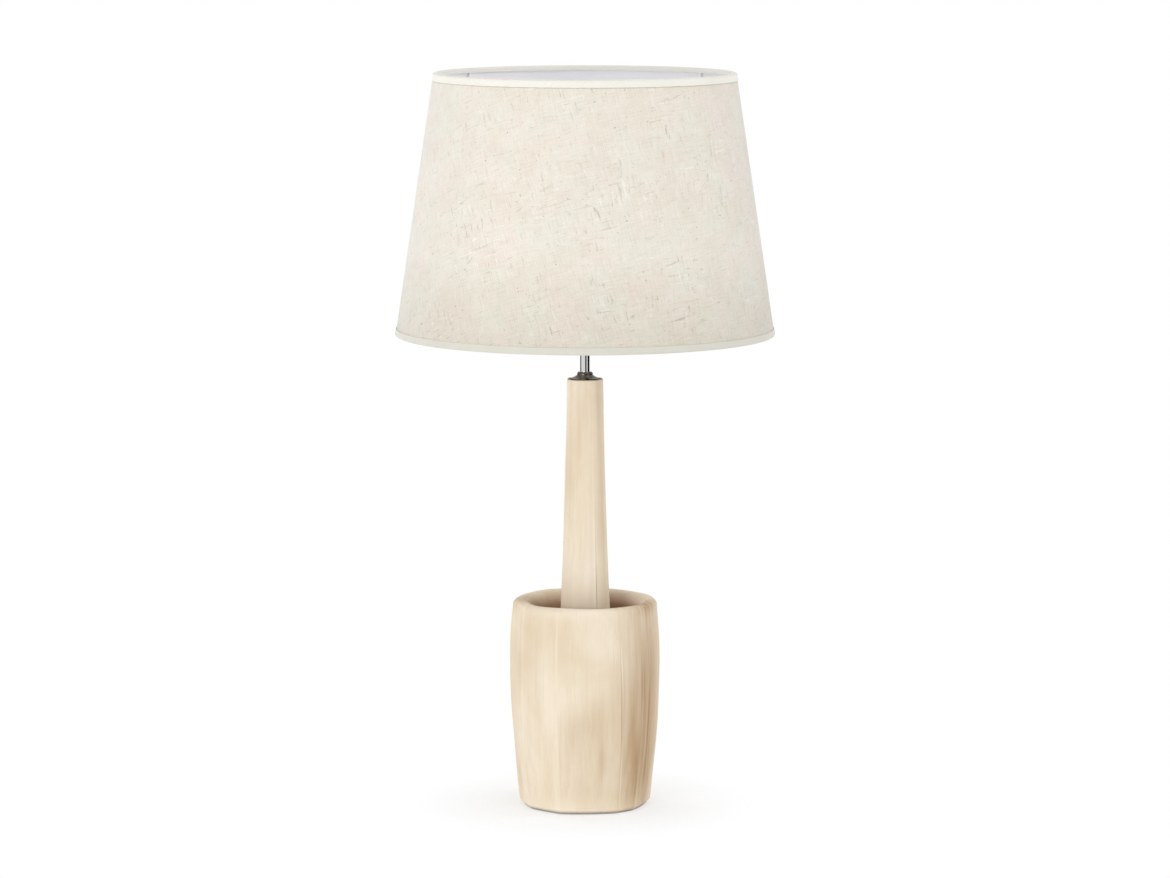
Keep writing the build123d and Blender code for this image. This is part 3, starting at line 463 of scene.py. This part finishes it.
finishes = {
    "pale_wood": wood_finish(),
    "linen": linen_finish(),
    "lining": lining_finish(),
    "tape": tape_finish("top_tape", "F0EEE6", "EAE8DE"),
    # The same tape as at the top, darker: painted shade, as less light reaches the shade's lower
    # edge
    "bottom_tape": tape_finish("bottom_tape", "D8D6CB", "D0CEC2"),
    "felt": felt_finish(),
    "chrome": metal_finish("chrome", "DADAD8", "CFCFCD", 0.015, 0.02),
    # The cup's chrome, coloured darker: painted dark reflections in place of the bright world it
    # would mirror
    "chrome_painted_dark": metal_finish("chrome_painted_dark", "6C665B", "5E584F", 0.04, 0.04),
    "zinc_steel": metal_finish("zinc_steel", "ABADB0", "9C9EA3", 0.35, 0.15),
    "brass": metal_finish("brass", "CBA95C", "BA964A", 0.25, 0.15),
    "nickel_shell": metal_finish("nickel_shell", "BFBCB4", "B1AEA6", 0.22, 0.12),
    "aluminium": metal_finish("aluminium", "CACCCE", "BBBEC1", 0.4, 0.1),
    "black_plastic": plastic_finish("black_plastic", "1B1B1C", "242425", 0.45),
    "white_plastic": plastic_finish("white_plastic", "E6E6E2", "EDEDEA", 0.35),
    "white_ceramic_plastic": plastic_finish("white_ceramic_plastic", "DBDACF", "E4E3DA", 0.6),
    "brown_insulation": plastic_finish("brown_insulation", "5A3A26", "664530", 0.5),
    "blue_insulation": plastic_finish("blue_insulation", "2B4F93", "365B9E", 0.5),
    "white_wire": plastic_finish("white_wire", "F5F5F5", "FAFAFA", 0.6, 0.05, specular=0.2),
    "black_glass": plastic_finish("black_glass", "0C0C10", "131318", 0.1, 0.01),
    "opal_plastic": plastic_finish("opal_plastic", "F2F2EE", "F7F7F4", 0.4, 0.01),
}

# ---------------------------------------------------------------- pot

pot_around = ring_angles(1080)
corner_drift = 1.2              # how far a corner wanders to either side, in degrees
corner_drift_turn = 2.4         # how far its wave runs over the height, in radians
lip_drop = 0.7                  # from the pot's top to the middle of the lip's waver
marks_reach = 60.0              # the outside's marks reach in over the lip to this radius
hollow_shade_reach = 64.5              # the hollow's painted shade reaches out to this radius
hollow_shade_start = 0.8               # below the pot's top
hollow_shade_depth = 14.0              # from its start to its full strength
hollow_shade_curve = 0.6               # power of the share of that depth: it darkens fast at first
hollow_shade_strength = 0.78
corner_tremble = 0.12           # how far the marks along a corner tremble, in degrees
corner_tremble_turn = 23.0      # how far that wave runs over the height, in radians
arris_width = 0.8               # half width of a worn corner's painted highlight, in degrees
arris_offset = 0.6              # from the corner, in degrees
arris_strength = 0.13
arris_change = 0.12             # how much the strength changes to either side over the height
arris_run = 17.0                # of that wave, in millimetres for a radian
crease_corner = 29              # the dark crease runs down this corner
crease_width = 0.30             # its half width, in degrees
crease_faintest = 0.14
crease_dark_parts = ((112, 42, 0.50), (30, 30, 0.25))   # (height, half height, strength)


def drifted(corners, share, seed):
    """Corners that wander a little with height, as a drawknife leaves them."""
    phases = np.random.default_rng(seed).uniform(0, 2 * pi, len(corners))
    return tuple(
        corner + corner_drift * sin(corner_drift_turn * share + phase)
        for corner, phase in zip(corners, phases)
    )


def pot_corners_at(share):
    """The pot's corner angles at a share of its height."""
    return drifted(pot_corners, share, seed=5)


def pot_relief(around, level):
    """What the shaving leaves on the facets: long shallow hollows and short fine ones."""
    relief = waves(around, level, seed=1, turns=(1, 7), period=150, size=0.45)
    relief = relief + waves(around, level, seed=2, turns=(8, 22), period=55, size=0.18)
    return relief + waves(around, level, seed=3, turns=(30, 70), period=20, size=0.05)


def pot_outside():
    """The shaved outside: its rows of radii, their levels, and the foot's row of radii."""
    levels = np.linspace(pot_bottom + foot_chamfer, pot_top - lip_outer_height, num=180)
    shares = (levels - pot_bottom) / pot_height
    section = np.array([
        shaved(pot_around, pot_corners_at(share), pot_crown, pot_softness) for share in shares
    ])
    outside = curve(pot_heights, pot_radii, shares)[:, None] * section
    outside = outside + pot_relief(pot_around, levels[:, None])
    return outside, levels, section[0] * (pot_radii[0] - foot_chamfer)


def pot_lip(edge):
    """The lip, from the outside's last row: a tight round outside and a wide one inside."""
    waver = waves(pot_around, 0, seed=11, turns=(1, 6), period=1, size=0.35) - lip_drop
    turn = np.linspace(0, pi / 2, num=14)[1:, None]
    reach = edge - (pot_radii[-1] - lip_outer_width)
    outer = edge - reach * (1 - np.cos(turn))
    outer_levels = pot_top - lip_outer_height + (lip_outer_height + waver) * np.sin(turn)
    turn = np.linspace(pi / 2, pi, num=26)[:, None]
    middle = hollow_mouth_radius + lip_inner_width
    inner = middle + lip_inner_width * np.cos(turn) * np.ones_like(edge)
    inner_levels = pot_top - lip_inner_height + (lip_inner_height + waver) * np.sin(turn)
    return outer, outer_levels, inner, inner_levels


def pot_hollow():
    """The hollow's wall and the round at its floor, as radii and levels."""
    mouth = pot_top - lip_inner_height
    wall_levels = np.linspace(mouth, hollow_floor + hollow_corner, num=40)[1:]
    wall_radii = hollow_floor_radius + (hollow_mouth_radius - hollow_floor_radius) * (
        (wall_levels - hollow_floor) / (mouth - hollow_floor)
    )
    turn = np.linspace(0, pi / 2, num=10)[1:]
    corner_radii = wall_radii[-1] - hollow_corner + hollow_corner * np.cos(turn)
    corner_levels = hollow_floor + hollow_corner * (1 - np.sin(turn))
    return (
        np.concatenate([wall_radii, corner_radii])[:, None],
        np.concatenate([wall_levels, corner_levels])[:, None],
    )


def pot_skin():
    """Radii and heights of the pot's skin: up outside, over the lip, down and out below."""
    ones = np.ones_like(pot_around)
    outside, levels, foot = pot_outside()
    outer_lip, outer_lip_levels, inner_lip, inner_lip_levels = pot_lip(outside[-1])
    hollow, hollow_levels = pot_hollow()
    inside = np.vstack([inner_lip, hollow * ones])
    inside_levels = np.vstack([inner_lip_levels, hollow_levels * ones])
    inside = inside + waves(pot_around, inside_levels, seed=12, turns=(1, 9), period=40, size=0.15)
    under = np.array([
        (tube_hole_radius, hollow_floor),
        (tube_hole_radius, counterbore_ceiling),
        (counterbore_radius, counterbore_ceiling),
        (counterbore_radius, recess_ceiling),
        (recess_radius, recess_ceiling),
        (recess_radius, pot_bottom),
    ])
    radii = np.vstack([outside, outer_lip, inside, under[:, :1] * ones, foot])
    heights = np.vstack([
        levels[:, None] * ones,
        outer_lip_levels,
        inside_levels,
        under[:, 1:] * ones,
        pot_bottom * ones,
    ])
    return radii, heights


def corner_path(corner):
    """Heights and angles along one of the pot's corners, with a slight tremble."""
    shares = np.linspace(0, 1, num=40)
    angles = [
        pot_corners_at(share)[corner] + corner_tremble * sin(corner_tremble_turn * share)
        for share in shares
    ]
    return pot_bottom + pot_height * shares, angles


def tone_and_shade_marks(around, heights, marks):
    """Lighter and darker places, listed as (angle, height, half width, half height, strength)."""
    tone_and_shade = 0 * heights
    for angle, height, half_width, half_height, strength in marks:
        across = bump(angle_from(around, angle), half_width)
        tone_and_shade = tone_and_shade + strength * across * bump(heights - height, half_height)
    return tone_and_shade


def arris_highlights(around, heights):
    """Painted highlights along the pot's corners, as on worn arrises that catch the light, stronger
    and weaker by turns.
    """
    line = 0 * heights
    for corner in range(len(pot_corners)):
        angles = np.interp(heights, *corner_path(corner))
        strength = arris_strength + arris_change * np.sin(heights / arris_run + 2 * corner)
        line = line - strength * bump(angle_from(around, angles + arris_offset), arris_width)
    return line


def crease_marks(around, heights):
    """The dark crease down one of the pot's corners."""
    angles = np.interp(heights[:, :1], *corner_path(pot_corners.index(crease_corner)))
    depth = crease_faintest
    for height, half_height, strength in crease_dark_parts:
        depth = depth + strength * bump(heights - height, half_height)
    return bump(angle_from(around, angles), crease_width) * depth


# Rows as in tone_and_shade_marks; besides random tone they hold painted light and shade
pot_tone_and_shade = (
    # front: lighter high up and darker low down, with a painted highlight beside the corner at -22
    # degrees
    (-25, 60, 2.5, 55, -0.20), (8, 178, 12, 22, -0.30), (-6, 120, 18, 35, -0.10),
    (-14, 72, 10, 34, 0.12), (14, 52, 4, 24, 0.24), (2, 25, 14, 22, 0.10),
    (-2, 92, 16, 18, 0.14), (10, 105, 12, 30, 0.10),
    # right of the front: painted shade on the side away from the key lamp, with the long dark
    # streak
    (40, 165, 5, 30, -0.08), (51, 128, 5, 22, 0.12), (46, 35, 6, 34, 0.20),
    (36, 85, 6, 70, 0.20), (58, 92, 17, 125, 0.72), (27, 95, 6, 110, 0.20),
    (40, 85, 7, 120, 0.26), (80, 95, 14, 110, 0.26), (62, 50, 7, 30, 0.12),
    (66, 30, 8, 30, 0.10),
    # foot and lip: painted light low on the foot and along the lip's front, painted shade at the
    # lip's ends
    (-10, 0, 60, 15, -0.40), (-10, 207, 34, 8, -0.30), (64, 207, 16, 8, 0.40),
    (-85, 207, 18, 7, 0.28),
    # sides and back
    (-60, 150, 16, 30, 0.10), (-78, 80, 10, 80, 0.12), (104, 110, 14, 70, 0.12),
    (122, 70, 9, 70, 0.14), (150, 60, 14, 40, 0.20), (195, 140, 18, 50, -0.2),
    (250, 70, 16, 50, 0.18),
)

pot_radii_grid, pot_heights_grid = pot_skin()
outside_of_pot = pot_radii_grid > marks_reach
inside_of_pot = (pot_radii_grid < hollow_shade_reach) & (pot_heights_grid >= hollow_floor)
depth_in_pot = np.clip((pot_top - hollow_shade_start - pot_heights_grid) / hollow_shade_depth, 0, 1)
pot = closed_grid("pot_wood", pot_radii_grid, pot_heights_grid, pot_around, marks={
    # painted shade in the hollow, darker with depth
    "hollow_shade": hollow_shade_strength * inside_of_pot * depth_in_pot**hollow_shade_curve,
    "tone_and_shade": outside_of_pot * (
        tone_and_shade_marks(pot_around, pot_heights_grid, pot_tone_and_shade)
        + arris_highlights(pot_around, pot_heights_grid)
    ),
    "creases_and_painted_shade": outside_of_pot * crease_marks(pot_around, pot_heights_grid),
})


def cut_gland_hole(piece):
    """Cuts the way in for the gland, with the flat seat of its flange, through the pot's back."""
    inside_recess = recess_radius - 3.0
    behind_pot = 80.0
    cutters = []
    for radius, start in ((gland_body_radius, inside_recess), (gland_flange_radius, gland_seat)):
        bpy.ops.mesh.primitive_cylinder_add(
            vertices=64,
            radius=(radius + glue_gap) * MM,
            depth=(behind_pot - start) * MM,
            location=(0, (start + behind_pot) / 2 * MM, gland_height * MM),
            rotation=(pi / 2, 0, 0),
        )
        cutters.append(bpy.context.object)
    for cutter in cutters:
        cut = piece.modifiers.new("gland_hole", "BOOLEAN")
        cut.operation = "DIFFERENCE"
        cut.solver = "EXACT"
        cut.object = cutter
    dressed = bpy.context.evaluated_depsgraph_get()
    mesh = bpy.data.meshes.new_from_object(piece.evaluated_get(dressed))
    piece.modifiers.clear()
    piece.data = mesh
    for cutter in cutters:
        bpy.data.objects.remove(cutter, do_unlink=True)


cut_gland_hole(pot)
dress(pot, finishes["pale_wood"], "base", "pot")

# ---------------------------------------------------------------- column

column_around = ring_angles(540)
crack_angle = 28.5
crack_width = 0.7               # its half width, in degrees
crack_height = 222.0
crack_half_height = 20.0
crack_strength = 0.8


def column_skin():
    """Radii and heights of the column's skin: up outside, over the top and down the bore."""
    levels = np.linspace(hollow_floor, column_top - column_edge, num=200)
    shares = (levels - hollow_floor) / column_height
    corners = [drifted(column_corners, 2 * share, seed=6) for share in shares]
    section = np.array([
        shaved(column_around, row, column_crown, column_softness) for row in corners
    ])
    level = levels[:, None]
    outer = curve(column_heights, column_radii, shares)[:, None] * section
    outer = outer + waves(column_around, level, seed=21, turns=(1, 4), period=180, size=0.25)
    outer = outer + waves(column_around, level, seed=22, turns=(4, 12), period=60, size=0.08)
    ones = np.ones_like(column_around)
    bore = tube_hole_radius * ones
    radii = np.vstack([outer, outer[-1] - column_edge, bore, bore])
    heights = np.vstack([level * ones, column_top * ones, column_top * ones, hollow_floor * ones])
    return radii, heights


# Rows as in tone_and_shade_marks: random tone, painted shade down the right side, light and dark
# lines beside the crack
column_tone_and_shade = (
    (-60, 330, 16, 90, 0.10), (52, 300, 16, 160, 0.22), (38, 400, 8, 40, 0.1),
    (-20, 380, 10, 40, 0.08), (8, 300, 10, 90, -0.15), (0, 228, 70, 26, -0.38),
    (14, 215, 5, 18, 0.12), (180, 300, 30, 80, 0.2), (24, 250, 2, 60, -0.35),
    (28, 255, 1.2, 60, 0.30),
)

column_radii_grid, column_heights_grid = column_skin()
outside_of_column = column_radii_grid > tube_hole_radius
top_of_column = column_heights_grid >= column_top
crack = bump(angle_from(column_around, crack_angle), crack_width)
crack = crack * bump(column_heights_grid - crack_height, crack_half_height)
column = closed_grid("column_wood", column_radii_grid, column_heights_grid, column_around, marks={
    "tone_and_shade": outside_of_column * tone_and_shade_marks(column_around, column_heights_grid, column_tone_and_shade),
    # the whole top face too: painted shade under the cup
    "creases_and_painted_shade": np.maximum(crack_strength * crack * outside_of_column, top_of_column),
})
dress(column, finishes["pale_wood"], "base", "column")

# ---------------------------------------------------------------- tube and cup

tube_radius = 5.0
tube_bore_radius = 3.5
tube_edge = 0.3
tube_low = node_height("stem_tube", 0)
tube_high = node_height("stem_tube", 1)
cup_radius = 14.6
cup_shoulder = column_top + 0.8
cup_top = node_height("column_cup", 1)
cup_bead_foot = cup_top - 3.2
cup_bead_radius = 8.0
cup_bead_top_radius = 6.3
cup_hollow_radius = 7.4
cup_hollow_ceiling = column_top + 3.0
cup_bore_radius = tube_radius + glue_gap / 2
flare_bow = (0.45, 0.36)        # where the flare's middle lies: shares of its way out and up
bead_bow = (0.9, 0.55)          # and the same for the bead above it


def arc_through(start, middle, end, count):
    """Points of the arc through three points of (radius, height)."""
    (x1, y1), (x2, y2), (x3, y3) = start, middle, end
    twice_area = 2 * (x1 * (y2 - y3) + x2 * (y3 - y1) + x3 * (y1 - y2))
    squares = (x1**2 + y1**2, x2**2 + y2**2, x3**2 + y3**2)
    x = (squares[0] * (y2 - y3) + squares[1] * (y3 - y1) + squares[2] * (y1 - y2)) / twice_area
    y = (squares[0] * (x3 - x2) + squares[1] * (x1 - x3) + squares[2] * (x2 - x1)) / twice_area
    first, last = atan2(y1 - y, x1 - x), atan2(y3 - y, x3 - x)
    turn = (last - first + pi) % (2 * pi) - pi
    radius = hypot(x1 - x, y1 - y)
    angles = [first + turn * step for step in np.linspace(0, 1, count)]
    return [(x + radius * cos(angle), y + radius * sin(angle)) for angle in angles]


def bowed(start, end, bow):
    """Arc from a lower, outer point of (radius, height) to a higher, inner one."""
    out, up = bow
    middle = (end[0] + out * (start[0] - end[0]), start[1] + up * (end[1] - start[1]))
    return arc_through(start, middle, end, count=14)


tube = lathe("tube_chrome", [
    (tube_bore_radius, tube_low),
    (tube_radius - tube_edge, tube_low),
    (tube_radius, tube_low + tube_edge),
    (tube_radius, tube_high - tube_edge),
    (tube_radius - tube_edge, tube_high),
    (tube_bore_radius, tube_high),
], ring_angles(128))
dress(tube, finishes["chrome"], "base", "stem_tube")

cup = lathe("cup_chrome", [
    (cup_radius, column_top),
    *bowed((cup_radius, cup_shoulder), (cup_bead_radius, cup_bead_foot), flare_bow),
    *bowed((cup_bead_radius, cup_bead_foot), (cup_bead_top_radius, cup_top), bead_bow),
    (cup_bore_radius, cup_top),
    (cup_bore_radius, cup_hollow_ceiling),
    (cup_hollow_radius, cup_hollow_ceiling),
    (cup_hollow_radius, column_top),
], ring_angles(160))
dress(cup, finishes["chrome_painted_dark"], "base", "column_cup")

# ---------------------------------------------------------------- shade

seam_edges = (178.2, 181.9)     # where one end of the skin laps over the other, at the back
seam_step = 0.05                # half width of the lap's step, in degrees
lap_shadow_strength = 0.6             # of the dark line along the lap's edge: painted shadow of the lap's step
lap_height = 0.45               # how far the lap stands out at that edge
shade_around = np.union1d(
    ring_angles(720),
    np.radians([angle + side * seam_step for angle in seam_edges for side in (-1, 1)]),
)


def shade_radius(height, depth):
    """Radius of the shade at a height, at a depth inwards from the linen's outer face."""
    outer = shade_top_radius + shade_slope * (shade_top - height)
    return outer - (tape_thickness + glue_gap + depth) / cos(shade_tilt)


def shade_lap(around):
    """How far the lap at the back stands out: a full step at one edge, tapered at the other."""
    angle = np.degrees(around)
    start, end = seam_edges
    rise = np.clip((angle - start) / (end - start), 0, 1) ** 0.5
    return lap_height * rise * (angle < end)


def shade_skin(name, depth, thickness):
    """Linen or lining: a closed cone skin, a little out of true; the linen has the lap."""
    levels = np.linspace(shade_bottom + skin_gap, shade_top - skin_gap, num=50)
    ones = np.ones_like(shade_around)
    outer = shade_radius(levels, depth)[:, None] * ones
    inner = shade_radius(levels[::-1], depth + thickness)[:, None] * ones
    sway = waves(shade_around, levels[:, None], seed=31, turns=(2, 5), period=300, size=0.12)
    lap = shade_lap(shade_around) * (depth == 0)
    radii = np.vstack([outer + sway + lap, inner + sway[::-1]])
    heights = np.concatenate([levels, levels[::-1]])[:, None] * ones
    # painted shadow along the lap's free edge
    lap_shadow = lap_shadow_strength * (abs(np.degrees(shade_around) - seam_edges[1]) < 2 * seam_step)
    return closed_grid(name, radii, heights, shade_around, marks={"lap_shadow": lap_shadow})


linen = shade_skin("linen_cloth", 0, linen_thickness)
dress(linen, finishes["linen"], "shade", "linen_cover")
lining = shade_skin("lining_film", linen_thickness + glue_gap, lining_thickness)
dress(lining, finishes["lining"], "shade", "lining")

wire_depth = linen_thickness + glue_gap + lining_thickness + glue_gap + wire_radius
turn_in_depth = wire_depth + wire_radius + glue_gap
fold_height = 2.2               # of the tape's bend round the shade's edge
frayed_from = 4.0               # the cut edges' waver stops this near to the shade's edge


def fold(reach, rise, middle):
    """A tape's bend as (depth, drop, share of the pucker), from its outer to its inner leg."""
    turns = np.linspace(0, pi, num=14)[1:-1]
    return [(middle - reach * cos(turn), fold_height - rise * sin(turn), 1) for turn in turns]


def folded_tape(name, edge, side, width, seed):
    """Tape folded round an edge of the shade: side is 1 at the top and -1 at the bottom."""
    legs = np.linspace(width, fold_height, num=8)
    inner_legs = np.linspace(fold_height, tape_turn_in, num=6)
    middle = (turn_in_depth - glue_gap) / 2
    reach = middle + glue_gap
    profile = np.array([
        *((-glue_gap - tape_thickness, drop, 0) for drop in legs),
        *fold(reach + tape_thickness, fold_height, middle),
        *((turn_in_depth + tape_thickness, drop, 1) for drop in inner_legs),
        *((turn_in_depth, drop, 1) for drop in inner_legs[::-1]),
        *fold(reach, fold_height - tape_thickness, middle)[::-1],
        *((-glue_gap, drop, 0) for drop in legs[::-1]),
    ])
    depths, drops, puckered = profile[:, :1], profile[:, 1:2], profile[:, 2:]
    frayed = waves(shade_around, 0, seed=seed, turns=(20, 90), period=1, size=0.07)
    pucker = waves(shade_around, 0, seed=seed + 1, turns=(40, 120), period=1, size=0.05)
    heights = edge - side * (drops + frayed * (drops > frayed_from))
    radii = shade_radius(heights, depths - pucker * puckered)
    return closed_grid(name, radii, heights, shade_around)


top_tape = folded_tape("top_tape", shade_top, 1, top_tape_width, seed=41)
dress(top_tape, finishes["tape"], "shade", "top_trim")
bottom_tape = folded_tape("bottom_tape", shade_bottom, -1, bottom_tape_width, seed=43)
dress(bottom_tape, finishes["bottom_tape"], "shade", "bottom_trim")

# ---------------------------------------------------------------- the other nodes' finishes

for row in frame["record"]["subparts"]:
    node = frame["nodes"][row["node"]]
    node.data.materials.clear()
    node.data.materials.append(finishes[row["material_slot"]])

# ---------------------------------------------------------------- floor and world

# In this section and the next one, lengths are in metres

floor_level = -0.25 * MM        # just clear of the felt, which rests at 0
floor_half = 40.0
floor_white_near = 0.5          # how much of the floor by the lamp shows as plain white
floor_fade = (0.075, 0.17)      # it grows to all of it between these distances from the axis
floor_tone = 0.97
daylight = 0.77                 # the world's strength as light


def quad(name, corners, material):
    """Flat four-cornered piece."""
    mesh = bpy.data.meshes.new(name)
    mesh.from_pydata(corners, [], [(0, 1, 2, 3)])
    mesh.materials.append(material)
    return linked(name, mesh)


def floor_finish():
    """Half matt by the lamp, where it takes the shadow, and fading into the white background."""
    floor = Finish("floor")
    reach = floor.add("ShaderNodeVectorMath", {0: floor.place}, operation="LENGTH").outputs["Value"]
    fade = floor.ramp(reach, *floor_fade, floor_white_near, 1.0)
    matt = floor.add("ShaderNodeBsdfDiffuse", {"Color": (*[floor_tone] * 3, 1)})
    white = floor.add("ShaderNodeEmission", {"Color": (1, 1, 1, 1), "Strength": 1.0})
    path = floor.add("ShaderNodeLightPath").outputs
    seen = floor.math("MAXIMUM", path["Is Camera Ray"], path["Is Glossy Ray"])
    seen = floor.math("MAXIMUM", seen, path["Is Transmission Ray"])
    mix = floor.add("ShaderNodeMixShader", {
        0: floor.math("MULTIPLY", fade, seen), 1: matt.outputs[0], 2: white.outputs[0],
    })
    floor.links.new(mix.outputs[0], floor.nodes["Material Output"].inputs[0])
    return floor.material


def studio_world():
    """White all round, dimmer as light than as the camera and polished surfaces see it."""
    world = bpy.data.worlds.new("studio")
    world.use_nodes = True
    nodes, links = world.node_tree.nodes, world.node_tree.links
    lit = nodes["Background"]
    seen = nodes.new("ShaderNodeBackground")
    for background, strength in ((lit, daylight), (seen, 1.0)):
        background.inputs["Color"].default_value = (1, 1, 1, 1)
        background.inputs["Strength"].default_value = strength
    path = nodes.new("ShaderNodeLightPath")
    either = nodes.new("ShaderNodeMath")
    either.operation = "MAXIMUM"
    links.new(path.outputs["Is Camera Ray"], either.inputs[0])
    links.new(path.outputs["Is Glossy Ray"], either.inputs[1])
    mix = nodes.new("ShaderNodeMixShader")
    for socket, node in enumerate((either, lit, seen)):
        links.new(node.outputs[0], mix.inputs[socket])
    links.new(mix.outputs[0], nodes["World Output"].inputs[0])
    return world


floor = quad("floor", [
    (x * floor_half, y * floor_half, floor_level) for x, y in ((-1, -1), (1, -1), (1, 1), (-1, 1))
], floor_finish())
bpy.context.scene.world = studio_world()

# ---------------------------------------------------------------- lamps, cards and camera


def aim(piece, place, target):
    """Puts a lamp or camera in place and turns it to its target."""
    piece.location = place
    piece.rotation_euler = (Vector(target) - Vector(place)).to_track_quat("-Z", "Y").to_euler()


def lamp(name, place, target_height, size, power):
    """Soft rectangular lamp, turned to a height on the part's axis."""
    light = bpy.data.lights.new(name, "AREA")
    light.shape = "RECTANGLE"
    light.size, light.size_y = size
    light.energy = power
    aim(linked(name, light), place, (0, 0, target_height))


lamp("key", (-1.6, -2.9, 0.85), target_height=0.35, size=(1.3, 1.1), power=32)
lamp("side", (2.9, 0.1, 1.4), target_height=0.6, size=(1.0, 1.2), power=19)
lamp("back", (-2.3, 2.5, 0.9), target_height=0.35, size=(1.0, 1.2), power=20)

# Dark cards that only reflections show: they make the stripes on the tube
card_finish = Finish(
    "card", Base_Color=rgb("040404"), Roughness=1.0, Specular_IOR_Level=0.0
).material


def card(name, azimuth, distance, width, low, high):
    """Upright card round the lamp; azimuth 0 is towards the camera, positive to its right."""
    turn = radians(azimuth)
    middle = Vector((distance * sin(turn), -distance * cos(turn), 0))
    side = Vector((cos(turn), sin(turn), 0)) * width / 2
    left, right = middle - side, middle + side
    piece = quad(name, [
        (end.x, end.y, level)
        for end, level in ((left, low), (right, low), (right, high), (left, high))
    ], card_finish)
    piece.visible_camera = False
    piece.visible_diffuse = False
    piece.visible_shadow = False
    piece.visible_transmission = False


card("card_left", -118, distance=1.6, width=1.3, low=-0.5, high=2.2)
card("card_front", 20, distance=1.5, width=0.85, low=0.1, high=2.0)
card("card_right", 92, distance=1.6, width=1.9, low=-0.5, high=2.2)

view_tilt = 0.1307              # sine of the camera's downward angle
view_distance = 4.438           # from its target on the part's axis
view_height = 0.370             # of that target
frame_width_pixels = 1170
focal_pixels = 4438
sensor_width = 36               # in millimetres, as Blender gives its lenses

camera_data = bpy.data.cameras.new("camera")
camera_data.sensor_fit = "HORIZONTAL"
camera_data.sensor_width = sensor_width
camera_data.lens = sensor_width * focal_pixels / frame_width_pixels
camera = linked("camera", camera_data)
camera_back = view_distance * sqrt(1 - view_tilt**2)
camera_height = view_height + view_distance * view_tilt
aim(camera, (0, -camera_back, camera_height), (0, 0, view_height))
bpy.context.scene.camera = camera
bpy.context.scene.view_settings.view_transform = "Standard"
